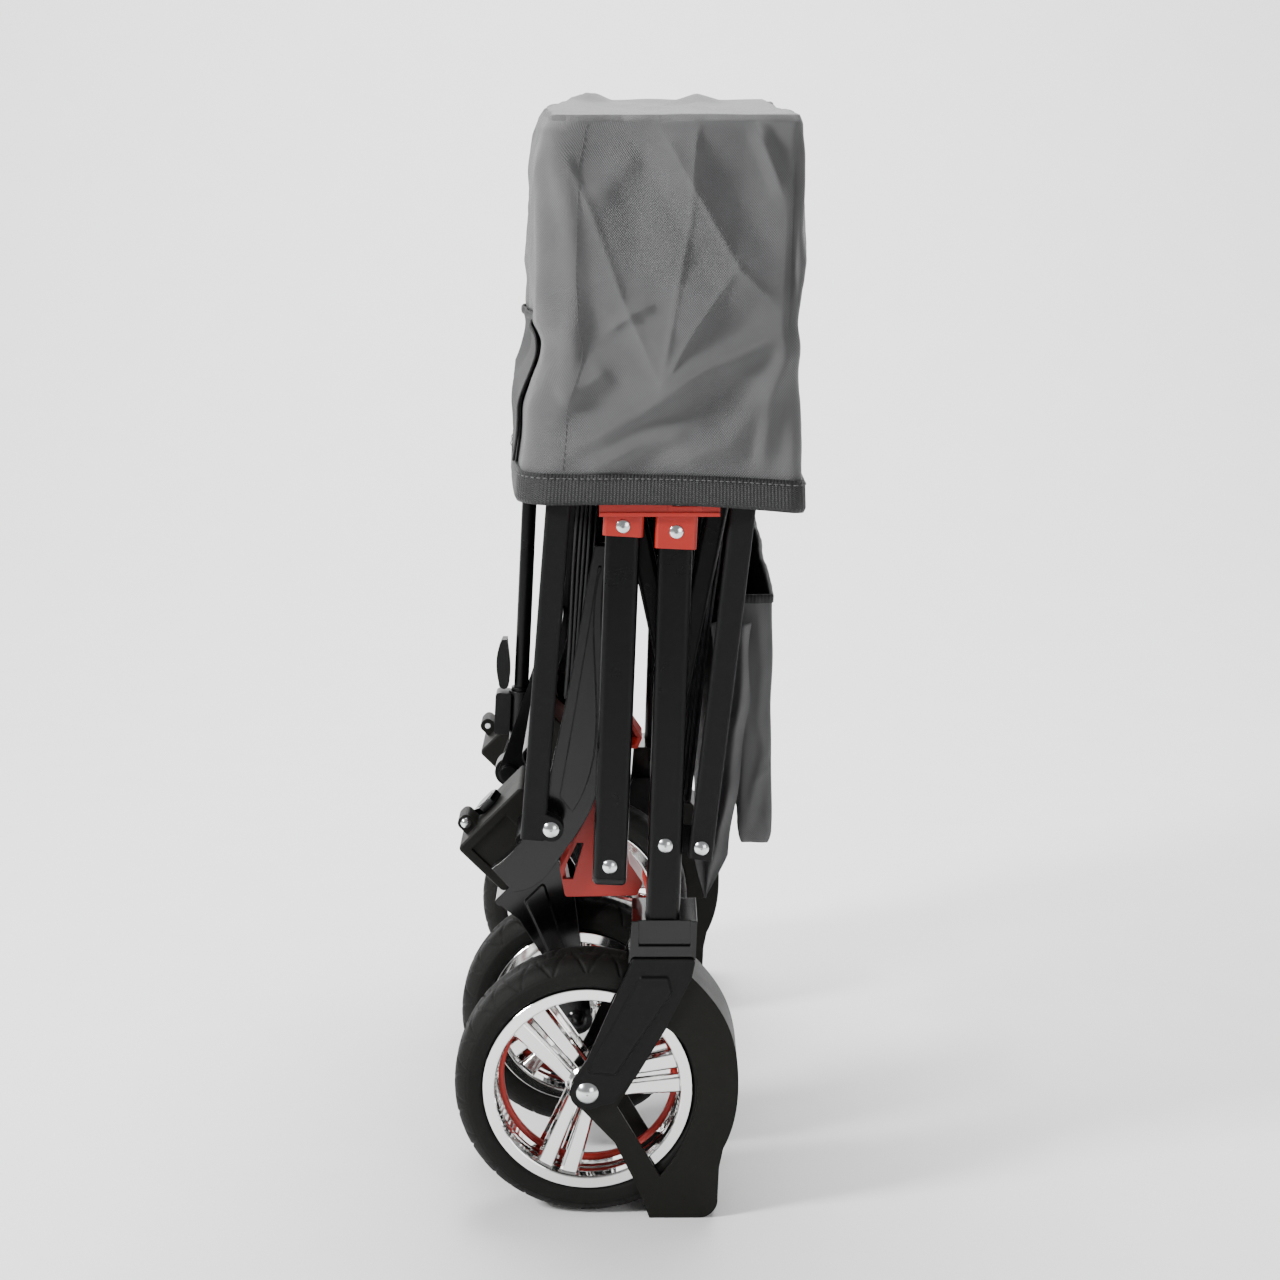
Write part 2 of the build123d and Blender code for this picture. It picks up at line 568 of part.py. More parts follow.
def caster_fork():
    """Crown, kingpin and two legs, drawn about an upright kingpin."""
    leg_gap = FRONT_WHEEL_W / 2 + 3
    crown_top = -HOUSING_H / 2 - 1.0
    crown = Pos(-16, 0, crown_top - 3.5) * Box(62, 2 * leg_gap + 8, 7)
    crown = fillet(crown.edges().filter_by(Axis.Y), 3)
    stem = Pos(0, 0, 3) * Cylinder(KINGPIN_R, HOUSING_H + 8)
    top_nut = Pos(0, 0, HOUSING_H / 2 + 4.5) * extrude(RegularPolygon(12, 6), amount=7)
    top_nut = Pos(0, 0, HOUSING_H / 2 + 0.6) * extrude(RegularPolygon(12, 6), amount=6)
    leg_shape = outline((-46, crown_top - 2), (14, crown_top - 2), (6, -60), (-26, -100), (-58, -143),
                        (-80, -149), (-80, -132), (-52, -84), (-44, -50))
    leg_shape = fillet(leg_shape.vertices(), 2) + disc(FRONT_AXLE_LOCAL, 12)
    rib = outline((-30, -42), (-8, -42), (-54, -124), (-62, -124))
    leg = slab(leg_shape, -leg_gap - 4, -leg_gap)
    leg += extrude(Plane.XZ.offset(leg_gap + 4) * fillet(rib.vertices(), 2.5), amount=1.6, taper=35)
    body = crown + stem + top_nut + leg + other_side(leg)
    return body - pin(FRONT_AXLE_LOCAL, AXLE_R - 1, -60, 60)


def front_axle():
    """The axle pin with a domed head outside; its inner end is flush with the leg."""
    reach = FRONT_WHEEL_W / 2 + 7
    return domed_rivet(FRONT_AXLE_LOCAL, 8.0, 3.5, AXLE_R - 1, -reach, 2 * reach)


def caster_arm():
    """The stub tube that carries a caster housing from the curved arm."""
    at = Location((KINGPIN_HOUSING[0], 0, KINGPIN_HOUSING[1]), (0, KINGPIN_LEAN, 0))
    return at * slab(disc((20, 0), BAR_R), -241, -CASTER_Y + HOUSING_W / 2)


add_both("curved_arms", curved_arm())
add_both("red_brackets", red_bracket())
add_pair("caster_housing", caster(housing()) - caster(housing_bolt()))
for side, place in (("left", lambda shape: shape), ("right", other_side)):
    add("caster_fork_" + side, place(caster(caster_fork())), place(caster(front_axle())))
add_both("caster_arms", caster_arm())
add("front_cross_bar", cross_tube(FRONT_RAIL_PIVOT, BAR_R, -206, 206))
add("rear_cross_bar", cross_tube((30.0, 217.0), BAR_R, REAR_INNER_FENDER + FENDER_PLATE,
                                 -REAR_INNER_FENDER - FENDER_PLATE))
add("front_rail_rivets", front_rail_rivet, other_side(front_rail_rivet), front_bolt, other_side(front_bolt))
add("rear_rail_rivets", rear_rail_rivet, other_side(rear_rail_rivet), rear_bolt, other_side(rear_bolt),
    rear_post_rivet, other_side(rear_post_rivet))
front_frame_bolts = [front_post_rivet, caster(housing_bolt())]
add("front_frame_bolts", *front_frame_bolts, *[other_side(item) for item in front_frame_bolts])

# ---------------------------------------------------------------- pull handle

YOKE_Y = 11.5
GRIP_R = 9.0
add("front_mid_bar", cross_tube(MID_BAR, SMALL_BAR_R, -BAR_END, BAR_END))


def yoke():
    """Two cheeks that hang from the middle bar and carry the handle's hinge."""
    cheek = make_hull((disc(MID_BAR, SMALL_BAR_R + 3) + disc(HANDLE_HINGE, 9)).edges())
    cheek -= disc(MID_BAR, SMALL_BAR_R)
    plate = slab(cheek, -YOKE_Y - 3, -YOKE_Y)
    hinge = pin(HANDLE_HINGE, 4, -YOKE_Y - 6, YOKE_Y + 6)
    hinge += pin(HANDLE_HINGE, 7.5, -YOKE_Y - 8, -YOKE_Y - 3) + pin(HANDLE_HINGE, 7.5, YOKE_Y + 3, YOKE_Y + 8)
    return plate + other_side(plate) + hinge


def handle_base():
    """The knuckle on the hinge and the sleeve that takes the handle tube."""
    knuckle = slab(disc(HANDLE_HINGE, 12), -YOKE_Y + 0.4, YOKE_Y - 0.4)
    sleeve_top = at_height(HANDLE_LOW, HANDLE_TOP, 342)
    turn = frame_between(HANDLE_LOW, sleeve_top, 0)
    length = math.dist(HANDLE_LOW, sleeve_top)
    sleeve = turn * Cylinder(SMALL_BAR_R, length)
    neck = slab(outline((-104, 276), (-84, 272), (-82, 296), (-96, 296)), -6, 6)
    body = knuckle + neck + sleeve - turn * Cylinder(6.0, length)
    return body - pin(HANDLE_HINGE, 4 + RUNNING_GAP, -20, 20)


handle_turn = lean_of(HANDLE_LOW, HANDLE_TOP)


def along_handle(height, shape):
    """Places a shape on the handle's axis at a height, upright along it."""
    centre = at_height(HANDLE_LOW, HANDLE_TOP, height)
    return Location((centre[0], 0, centre[1]), (0, handle_turn, 0)) * shape


def handle_tube():
    """The handle's outer tube, with the thinner grip stem inside it."""
    length = math.dist(HANDLE_LOW, HANDLE_TOP) - 14
    tube = Pos(0, 0, length / 2) * (Cylinder(6.0, length) - Cylinder(5.0, length))
    return along_handle(HANDLE_LOW[1] + 14, tube)


def grip():
    """The sliding stem and the T grip."""
    stem = Pos(0, 0, -112) * Cylinder(5.0 - RUNNING_GAP, 236)
    bar = Rot(90, 0, 0) * Cylinder(GRIP_R, 116)
    bar = fillet(bar.edges().filter_by(GeomType.CIRCLE), 4)
    return along_handle(HANDLE_TOP[1] + 3, stem + Pos(5, 0, 12) * bar)


def clamp():
    """The split clamp block beside the sleeve."""
    block = Pos(-14, 0, -1.5) * Box(13, 21, 35)
    block = fillet(block.edges().filter_by(Axis.Y), 3)
    ring = Cylinder(10, 34) - Cylinder(SMALL_BAR_R, 40)
    bridge = Pos(-9, 0, 0) * Box(5, 14, 30)
    body = block + ring + bridge - Cylinder(SMALL_BAR_R, 60)
    return along_handle(322, body)


def clamp_lever():
    """The quick-release lever; it stands up beside the tube when locked."""
    wing = make_face([
        Spline((-104, 346), (-106, 362), (-105, 372), (-101, 383)),
        Line((-101, 383), (-97, 383)),
        Spline((-97, 383), (-96, 372), (-95, 360), (-96, 346)),
        Line((-96, 346), (-104, 346)),
    ])
    return slab(wing, -8, 8) + slab(disc((-100, 346), 4.2), -8, 8)


add("handle_yoke", yoke())
add("handle_base", handle_base())
add("handle_tube", handle_tube())
add("handle_grip", grip())
add("handle_clamp", clamp())
add("clamp_lever", clamp_lever())

# ---------------------------------------------------------------- soft parts: tub, pouch, mats and cover


def leaning_panel(low, high, thickness, half_width, shift):
    """A fabric wall along the line of a post."""
    a = (low[0] + shift, low[1])
    b = (high[0] + shift, high[1])
    length = math.dist(a, b)
    return frame_between(a, b, 0) * Box(thickness, 2 * half_width, length)


def tub_rear_wall():
    low = at_height(REAR_POST_PIVOT, REAR_POST_TOP, 262)
    high = at_height(REAR_POST_PIVOT, REAR_POST_TOP, 738)
    return leaning_panel(low, high, 9, 236, 3)


def tub_front_wall():
    low = at_height(FRONT_POST_LOW, FRONT_POST_TOP, 366)
    high = at_height(FRONT_POST_LOW, FRONT_POST_TOP, 722)
    return leaning_panel(low, high, 8, 220, 2)


def floor_mat(low, high):
    return frame_between(low, high, 0) * Box(9, 406, math.dist(low, high))


rear_mat_low = between(REAR_RAIL_END, REAR_HUB_PIN, 0.25)
rear_mat_high = between(REAR_RAIL_END, REAR_HUB_PIN, 0.93)
front_mat_low = between(FRONT_RAIL_PIVOT, FRONT_HUB_PIN, 0.1)
front_mat_high = between(FRONT_RAIL_PIVOT, FRONT_HUB_PIN, 0.93)


def rear_pouch():
    """The flat storage pouch on the outside of the rear wall, open along its top."""
    shape = outline((84, 273), (110, 276), (110, 465), (86, 465))
    body = slab(shape, -236, 236)
    hollow = slab(outline((88, 281), (106, 283), (106, 470), (90, 470)), -230, 230)
    return body - hollow


def gathered_side(low, high, shift, width):
    """A side wall of the tub, gathered like a curtain beside its post."""
    a = (low[0] + shift, low[1])
    b = (high[0] + shift, high[1])
    side = box_bar(a, b, width, -224, -206, 8)
    return side


def cover_plan(inset):
    """The cover seen from above: well rounded in front, nearly square behind."""
    plan = Pos(20.5, 0) * Rectangle(213 - 2 * inset, 2 * (COVER_FACE - inset))
    corners = plan.vertices()
    plan = fillet(corners.group_by(Axis.X)[0], 24 - inset)
    return fillet(plan.vertices().group_by(Axis.X)[-1], 8 - inset)


def cover():
    """The storage cover: a fabric box with a rounded plan, open below."""
    profile = outline((-86, COVER_LOW), (-70, 652), (-62, 776), (-51, COVER_TOP - 2), (-44, COVER_TOP),
                      (120, COVER_TOP), (126, 811), (127, COVER_LOW))
    body = slab(profile, -COVER_FACE, COVER_FACE)
    plan = cover_plan(0)
    column = Pos(0, 0, COVER_LOW - 1) * extrude(plan, amount=300)
    inner_profile = outline((-83.5, COVER_LOW - 5), (-67.3, 652), (-59.5, 775), (-49, COVER_TOP - 4.5),
                            (-44, COVER_TOP - COVER_WALL), (119, COVER_TOP - COVER_WALL), (123.5, 810),
                            (124.5, COVER_LOW - 5))
    inner = slab(inner_profile, -COVER_FACE + COVER_WALL, COVER_FACE - COVER_WALL)
    inner_column = Pos(0, 0, COVER_LOW - 9) * extrude(cover_plan(COVER_WALL), amount=310)
    return (body & column) - (inner & inner_column)


add("tub_rear_wall", tub_rear_wall())
add("tub_front_wall", tub_front_wall())
add("rear_floor_mat", floor_mat(rear_mat_low, rear_mat_high))
add("front_floor_mat", floor_mat(front_mat_low, front_mat_high))
add("rear_pouch", rear_pouch())
rear_side = gathered_side(at_height(REAR_POST_PIVOT, REAR_POST_TOP, 300),
                          at_height(REAR_POST_PIVOT, REAR_POST_TOP, 715), -18, 22)
front_side = gathered_side(at_height(FRONT_POST_LOW, FRONT_POST_TOP, 380),
                           at_height(FRONT_POST_LOW, FRONT_POST_TOP, 715), 19, 20)
add_both("tub_rear_sides", rear_side)
add_both("tub_front_sides", front_side)
add("storage_cover", cover())

# ---------------------------------------------------------------- output
os.makedirs("parts", exist_ok=True)
for name, shape in nodes.items():
    export_step(shape, "parts/" + name + ".step")
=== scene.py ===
import math
import random

import bpy
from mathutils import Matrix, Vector, noise


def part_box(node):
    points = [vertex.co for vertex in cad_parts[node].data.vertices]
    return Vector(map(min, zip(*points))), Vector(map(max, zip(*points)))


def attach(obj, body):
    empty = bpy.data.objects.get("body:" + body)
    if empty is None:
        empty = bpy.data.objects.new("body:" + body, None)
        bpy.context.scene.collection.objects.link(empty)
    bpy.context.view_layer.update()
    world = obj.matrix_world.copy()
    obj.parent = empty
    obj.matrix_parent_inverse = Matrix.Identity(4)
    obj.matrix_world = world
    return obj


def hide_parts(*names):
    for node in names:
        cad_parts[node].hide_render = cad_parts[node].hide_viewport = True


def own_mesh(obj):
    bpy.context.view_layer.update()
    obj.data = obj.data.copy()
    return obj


# A folding wagon with a pull handle, folded on end under its grey storage cover.
# Everything is in metres, in the CAD model's own frame: -X is the wagon's front, -Y its left side, +Z up.

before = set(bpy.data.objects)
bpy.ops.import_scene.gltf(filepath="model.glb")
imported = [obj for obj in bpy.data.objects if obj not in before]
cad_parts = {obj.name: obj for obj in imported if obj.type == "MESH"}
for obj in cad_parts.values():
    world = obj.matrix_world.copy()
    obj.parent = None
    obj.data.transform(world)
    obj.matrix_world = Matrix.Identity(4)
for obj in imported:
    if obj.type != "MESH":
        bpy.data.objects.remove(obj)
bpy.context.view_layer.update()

MM = 0.001
TURN = 2 * math.pi

# ---------------------------------------------------------------- materials


def node(tree, kind, inputs=None, **settings):
    """Adds a shader node; an input is a number, a colour or another node's output."""
    made = tree.nodes.new("ShaderNode" + kind)
    for key, value in settings.items():
        setattr(made, key, value)
    for key, value in (inputs or {}).items():
        if isinstance(value, bpy.types.NodeSocket):
            tree.links.new(value, made.inputs[key])
        else:
            made.inputs[key].default_value = value
    return made


def start_material(name, **sockets):
    """A material with its Principled shader; uniform values go straight on the shader's sockets."""
    made = bpy.data.materials.new(name)
    made.use_nodes = True
    shader = made.node_tree.nodes["Principled BSDF"]
    for key, value in sockets.items():
        shader.inputs[key.replace("_", " ")].default_value = value
    return made, made.node_tree, shader


def shade(colour, share):
    return (colour[0] * share, colour[1] * share, colour[2] * share, 1)


def mottle(tree, coordinates, colour, spread, scale, detail=3):
    """A colour that drifts by plus and minus spread over patches of 1 / scale metres."""
    cloud = node(tree, "TexNoise", {"Vector": coordinates, "Scale": scale, "Detail": detail})
    blend = node(tree, "MapRange", {"Value": cloud.outputs["Fac"], "From Min": 0.3, "From Max": 0.7})
    mixed = node(tree, "Mix", {"Factor": blend.outputs["Result"]}, data_type="RGBA")
    mixed.inputs[6].default_value = shade(colour, 1 - spread)
    mixed.inputs[7].default_value = shade(colour, 1 + spread)
    return mixed.outputs[2]


def moulded(name, colour, roughness, grain=0.0, grain_scale=900, spread=0.08, edge=0.0008, **sockets):
    """Paint, plastic or plated metal: softened edges, a fine grain, and a roughness that drifts a little."""
    made, tree, shader = start_material(name, **sockets)
    place = node(tree, "TexCoord").outputs["Object"]
    tree.links.new(mottle(tree, place, colour, spread, 14), shader.inputs["Base Color"])
    smear = node(tree, "TexNoise", {"Vector": place, "Scale": 30, "Detail": 4})
    rough = node(tree, "MapRange", {"Value": smear.outputs["Fac"], "To Min": roughness * 0.8,
                                    "To Max": roughness * 1.25})
    tree.links.new(rough.outputs["Result"], shader.inputs["Roughness"])
    soft_edge = node(tree, "Bevel", {"Radius": edge}, samples=4)
    speck = node(tree, "TexNoise", {"Vector": place, "Scale": grain_scale, "Detail": 2})
    bump = node(tree, "Bump", {"Height": speck.outputs["Fac"], "Strength": grain, "Distance": 0.0004,
                               "Normal": soft_edge.outputs["Normal"]})
    tree.links.new(bump.outputs["Normal"], shader.inputs["Normal"])
    return made


def ripple(tree, value, period):
    """A sine wave along one coordinate."""
    angle = node(tree, "Math", {0: value, 1: TURN / period}, operation="MULTIPLY")
    return node(tree, "Math", {0: angle.outputs[0]}, operation="SINE").outputs[0]


def woven(name, colour, thread, depth, roughness=0.75, diagonal=0.0, spread=0.06, **sockets):
    """Cloth whose threads follow the piece's UV map, which is in metres, with painted shade between the
    threads and a painted highlight on their tops.
    """
    made, tree, shader = start_material(name, Roughness=roughness, **sockets)
    coordinates = node(tree, "TexCoord")
    across = node(tree, "SeparateXYZ", {0: coordinates.outputs["UV"]})
    lean = node(tree, "Math", {0: across.outputs["Y"], 1: diagonal}, operation="MULTIPLY")
    along = node(tree, "Math", {0: across.outputs["X"], 1: lean.outputs[0]})
    warp = ripple(tree, along.outputs[0], thread)
    weft = ripple(tree, across.outputs["Y"], thread)
    cross = node(tree, "Math", {0: warp, 1: weft}, operation="MULTIPLY")
    fuzz = node(tree, "TexNoise", {"Vector": coordinates.outputs["Object"], "Scale": 1500, "Detail": 2})
    height = node(tree, "Math", {0: cross.outputs[0], 1: fuzz.outputs["Fac"]})
    bump = node(tree, "Bump", {"Height": height.outputs[0], "Strength": depth, "Distance": 0.0003})
    tree.links.new(bump.outputs["Normal"], shader.inputs["Normal"])
    base = mottle(tree, coordinates.outputs["Object"], colour, spread, 25)
    # painted shade and highlight: the colour is darker where the weave's bump is low and lighter where it is
    # high
    painted_thread_shade = node(tree, "MapRange", {"Value": height.outputs[0], "From Min": -0.8, "From Max": 1.8,
                                   "To Min": 0.80, "To Max": 1.16})
    lit = node(tree, "Mix", {"Factor": 1.0}, data_type="RGBA", blend_type="MULTIPLY")
    tree.links.new(base, lit.inputs[6])
    tree.links.new(painted_thread_shade.outputs["Result"], lit.inputs[7])
    tree.links.new(lit.outputs[2], shader.inputs["Base Color"])
    return made


GREY = (0.098, 0.098, 0.1)
cover_cloth = woven("cover_cloth", GREY, 0.0019, 1.0, roughness=0.47, spread=0.12)
tub_cloth = woven("tub_cloth", (0.075, 0.075, 0.077), 0.0017, 0.7, roughness=0.6)
flap_cloth = woven("flap_cloth", (0.06, 0.06, 0.062), 0.0022, 1.0, diagonal=1.0)
dark_cloth = woven("dark_cloth", (0.012, 0.012, 0.0125), 0.0012, 0.4)
dark_mat = woven("mat_cloth", (0.012, 0.012, 0.0125), 0.0012, 0.4)
webbing = woven("webbing", (0.006, 0.006, 0.0063), 0.0026, 1.0, diagonal=1.0, roughness=0.55, spread=0.15)
thread_grey = moulded("thread_grey", (0.1, 0.1, 0.1), 0.8)
satin_black = moulded("satin_black", (0.0018, 0.0018, 0.002), 0.28, grain=0.1, edge=0.002,
                       Specular_IOR_Level=0.18)
post_black = moulded("post_black", (0.0045, 0.0045, 0.0049), 0.5, grain=0.4, edge=0.0012,
                      Specular_IOR_Level=0.16)
gloss_black = moulded("gloss_black", (0.0015, 0.0015, 0.0016), 0.14, edge=0.0012,
                       Specular_IOR_Level=0.4)
fork_black = moulded("fork_black", (0.0024, 0.0024, 0.0024), 0.38, grain=0.25, edge=0.0016,
                      Specular_IOR_Level=0.18)
olive = moulded("olive_plastic", (0.0062, 0.0062, 0.0048), 0.5, grain=0.35, edge=0.0015,
                 Specular_IOR_Level=0.15)
black_plastic = moulded("black_plastic", (0.005, 0.005, 0.0052), 0.4, grain=0.4, Specular_IOR_Level=0.3)
red = moulded("red_plastic", (0.36, 0.012, 0.006), 0.42, grain=0.15, spread=0.05, edge=0.001)
zinc = moulded("zinc", (0.75, 0.77, 0.78), 0.2, spread=0.06, Metallic=1.0)
chrome = moulded("chrome", (0.93, 0.93, 0.92), 0.07, spread=0.02, edge=0.0008, Metallic=1.0)
rubber = moulded("rubber", (0.0062, 0.0062, 0.0056), 0.62, grain=0.8, grain_scale=500, edge=0.001,
                  Specular_IOR_Level=0.16)

NODE_MATERIALS = {
    satin_black: ("rear_rails", "front_rails", "rear_top_bar", "front_top_bar", "front_mid_bar",
                  "front_cross_bar", "rear_cross_bar", "handle_tube", "handle_base", "handle_yoke",
                  "caster_arms", "rear_top_rails", "front_top_rails"),
    post_black: ("rear_posts", "front_posts", "post_brackets"),
    gloss_black: ("rail_brackets", "curved_arms", "caster_fork_left", "caster_fork_right"),
    fork_black: ("fork_arms", "inner_fork_arms"),
    olive: ("fender_left", "fender_right", "caster_housing_left", "caster_housing_right"),
    red: ("hubs", "rear_sockets", "front_sockets", "red_brackets", "latch_left", "latch_right"),
    black_plastic: ("front_rail_caps", "handle_clamp", "clamp_lever", "handle_grip"),
    zinc: ("rear_rail_rivets", "front_rail_rivets", "front_frame_bolts", "rear_axles", "hub_pins",
           "rear_top_pins", "front_top_pins"),
}
for finish, names in NODE_MATERIALS.items():
    for name in names:
        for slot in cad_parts[name].material_slots:
            slot.material = finish

# ---------------------------------------------------------------- mesh helpers


def piece(name, points, faces, finish, body, uv=None):
    """A smooth mesh piece that rides on a body. uv holds one (u, v) in metres for each point."""
    mesh = bpy.data.meshes.new(name)
    mesh.from_pydata([tuple(p) for p in points], [], faces)
    mesh.materials.append(finish)
    if uv:
        layer = mesh.uv_layers.new(name="cloth")
        for loop in mesh.loops:
            layer.data[loop.index].uv = uv[loop.vertex_index]
    for polygon in mesh.polygons:
        polygon.use_smooth = True
    made = bpy.data.objects.new(name, mesh)
    bpy.context.scene.collection.objects.link(made)
    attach(made, body)
    return made


def grid_faces(rows, columns, closed, first=0):
    """Quads between rows of points; a closed grid joins its last column to its first."""
    faces = []
    for row in range(rows - 1):
        for column in range(columns if closed else columns - 1):
            after = (column + 1) % columns
            a, b = first + row * columns, first + (row + 1) * columns
            faces.append((a + column, a + after, b + after, b + column))
    return faces


def bake_modifier(made, kind, **settings):
    """Adds a modifier and applies it at once."""
    modifier = made.modifiers.new(kind.lower(), kind)
    for key, value in settings.items():
        setattr(modifier, key, value)
    bpy.context.view_layer.objects.active = made
    with bpy.context.temp_override(object=made, active_object=made, selected_objects=[made]):
        bpy.ops.object.modifier_apply(modifier=modifier.name)


def thicken(made, thickness):
    """Gives a sheet its thickness, on the inner side."""
    bake_modifier(made, "SOLIDIFY", thickness=thickness, offset=-1.0, use_even_offset=False)


def along(points, height):
    """The value at a height of a line through (height, value) points, eased between them."""
    if height <= points[0][0]:
        return points[0][1]
    for (low, a), (high, b) in zip(points, points[1:]):
        if height <= high:
            share = (height - low) / (high - low)
            return a + (b - a) * share * share * (3 - 2 * share)
    return points[-1][1]


def nearest(point, line):
    """Distance from a point to a line of points, and how far along the line the near place is, 0 to 1."""
    best, where, run, total = 9.0, 0.0, 0.0, 0.0
    for a, b in zip(line, line[1:]):
        total += (b - a).length
    for a, b in zip(line, line[1:]):
        side = b - a
        share = max(0.0, min(1.0, (point - a).dot(side) / side.length_squared))
        distance = (point - (a + side * share)).length
        if distance < best:
            best, where = distance, (run + side.length * share) / total
        run += side.length
    return best, where


def fold(point, line, height, width, sharp=True):
    """The height of a crease at a point: a tent for a pressed crease, a bell for a soft fold."""
    distance, where = nearest(point, line)
    if distance > width * 2.5:
        return 0.0
    taper = min(1.0, 0.35 + 4 * where, 0.35 + 4 * (1 - where))
    if sharp:
        return height * taper * max(0.0, 1 - distance / width)
    return height * taper * math.exp(-(distance / width * 1.5) ** 2)


# ---------------------------------------------------------------- a rounded rectangle, followed by distance


def rounded_plan(x_low, x_high, half, front_r, rear_r):
    """Straight and round runs of a plan, from the middle of its front round by the left side."""
    def straight(start, way, normal):
        return lambda s: (start[0] + way[0] * s, start[1] + way[1] * s, *normal)

    def arc(centre, radius, first):
        def at(s):
            angle = first + s / radius
            return (centre[0] + radius * math.cos(angle), centre[1] + radius * math.sin(angle),
                    math.cos(angle), math.sin(angle))
        return at

    quarter = math.pi / 2
    front_side, rear_side = half - front_r, half - rear_r
    length = x_high - x_low - front_r - rear_r
    return [
        (front_side, straight((x_low, 0), (0, -1), (-1, 0))),
        (quarter * front_r, arc((x_low + front_r, -front_side), front_r, math.pi)),
        (length, straight((x_low + front_r, -half), (1, 0), (0, -1))),
        (quarter * rear_r, arc((x_high - rear_r, -rear_side), rear_r, 3 * quarter)),
        (2 * rear_side, straight((x_high, -rear_side), (0, 1), (1, 0))),
        (quarter * rear_r, arc((x_high - rear_r, rear_side), rear_r, 0)),
        (length, straight((x_high - rear_r, half), (-1, 0), (0, 1))),
        (quarter * front_r, arc((x_low + front_r, front_side), front_r, quarter)),
        (front_side, straight((x_low, front_side), (0, -1), (-1, 0))),
    ]


def plan_length(plan):
    return sum(run for run, at in plan)


def plan_at(plan, s):
    """Place and outward direction at a distance s along the plan."""
    s %= plan_length(plan)
    for run, at in plan:
        if s <= run:
            return at(s)
        s -= run
    return plan[-1][1](plan[-1][0])


# ---------------------------------------------------------------- storage cover

(cover_x0, _, cover_low), (cover_x1, COVER_HALF, cover_top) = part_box("storage_cover")
FRONT_ROUND, REAR_ROUND = 0.024, 0.009
cover_plan = rounded_plan(cover_x0, cover_x1, COVER_HALF, FRONT_ROUND, REAR_ROUND)
COVER_EDGE = plan_length(cover_plan)
# how far the front and the rear of the cover stand in from the plan, by height
FRONT_INSET = ((cover_low, 0.0), (0.600, 0.006), (0.652, 0.021), (0.668, 0.017), (0.700, 0.015),
               (0.775, 0.017), (0.800, 0.022), (cover_top, 0.030))
CORNER_INSET = 0.013           # the front is bowed: its corners stand this much further back than its middle
REAR_INSET = ((cover_low, 0.0), (0.585, 0.0015), (0.650, 0.008), (0.700, 0.002), (0.780, 0.001),
              (0.805, 0.003), (cover_top, 0.007))
STAR = (0.027, 0.627)          # where the pressed creases of the left side meet
PRESS_LINE, PRESS_WIDTH = 0.6, 0.0028   # the thin raised line along a pressed crease, in mm and metres
RELIEF = 2.3                   # how strongly the folds of the narrow sides stand out


def line(*points):
    """A crease's path through (across, height) points."""
    return [Vector(p) for p in points]


PRESSED = (
    (line(STAR, (0.035, 0.675), (0.0475, 0.745), (0.050, 0.790), (0.054, 0.816)), 3.2, 34),
    (line(STAR, (0.050, 0.665), (0.081, 0.710)), 2.4, 26),
    (line(STAR, (0.000, 0.686), (-0.024, 0.752), (-0.050, 0.808)), 2.0, 24),
    (line((0.020, 0.816), (0.049, 0.765), (0.081, 0.708), (0.108, 0.682)), 3.4, 22),
    (line((-0.010, 0.665), (0.010, 0.679), (0.022, 0.683)), 1.2, 8),
    (line((0.092, 0.806), (0.109, 0.764), (0.113, 0.756)), 3.4, 9),
)
SOFT = (
    (line((-0.045, 0.615), (-0.010, 0.640)), 2.6, 14),
    (line((-0.040, 0.580), (0.028, 0.620), (0.070, 0.645), (0.108, 0.660)), 4.2, 15),
    (line((-0.030, 0.566), (0.012, 0.588), (0.050, 0.598)), 3.0, 12),
    (line((0.030, 0.575), (0.075, 0.590), (0.112, 0.640)), 2.6, 14),
    (line((-0.046, 0.800), (-0.036, 0.730), (-0.032, 0.690), (-0.040, 0.610)), 2.2, 12),
    (line((-0.020, 0.755), (0.010, 0.790)), 1.6, 16),
    (line((0.097, 0.575), (0.106, 0.630), (0.120, 0.660)), 2.0, 9),
)


def random_folds(seed, half, count):
    """Folds of a wide face, in (across, height), crossing at shallow angles."""
    chance = random.Random(seed)
    made = []
    for _ in range(count):
        middle = chance.uniform(-half, half), chance.uniform(cover_low + 0.03, cover_top - 0.02)
        reach = chance.uniform(0.05, 0.15)
        angle = chance.choice((-1, 1)) * chance.uniform(0.3, 1.35)
        step = Vector((math.cos(angle), math.sin(angle))) * reach
        centre = Vector(middle)
        bend = centre + Vector((chance.uniform(-0.01, 0.01), chance.uniform(-0.01, 0.01)))
        made.append(([centre - step, bend, centre + step], chance.uniform(1.5, 4.0),
                     chance.uniform(12, 34), chance.random() < 0.5))
    return made


WIDE_FOLDS = {1: random_folds(11, COVER_HALF, 26), -1: random_folds(5, COVER_HALF, 26)}


def side_relief(x, z, mirrored):
    """Millimetres that the cloth of a narrow side stands out."""
    point = Vector((0.035 - (x - 0.035) if mirrored else x, z))
    rise = sum(fold(point, path, height, width * MM) for path, height, width in PRESSED)
    rise += sum(fold(point, path, height, width * MM, False) for path, height, width in SOFT)
    rise += sum(fold(point, path, PRESS_LINE, PRESS_WIDTH) for path, height, width in PRESSED)
    pleat = Vector((x, z))
    rise = rise * RELIEF - fold(pleat, line((0.1225, 0.800), (0.1195, 0.720), (0.1165, 0.640)), 5.5, 5 * MM,
                                False)
    return rise


def wide_relief(face, y, z):
    """Millimetres that the cloth of the front (-1) or rear (1) stands out."""
    point = Vector((y, z))
    rise = 0.0
    for path, height, width, sharp in WIDE_FOLDS[face]:
        if abs(path[1].x - y) < 0.2:
            rise += fold(point, path, height, width * MM, sharp)
    return min(rise, 9.0)


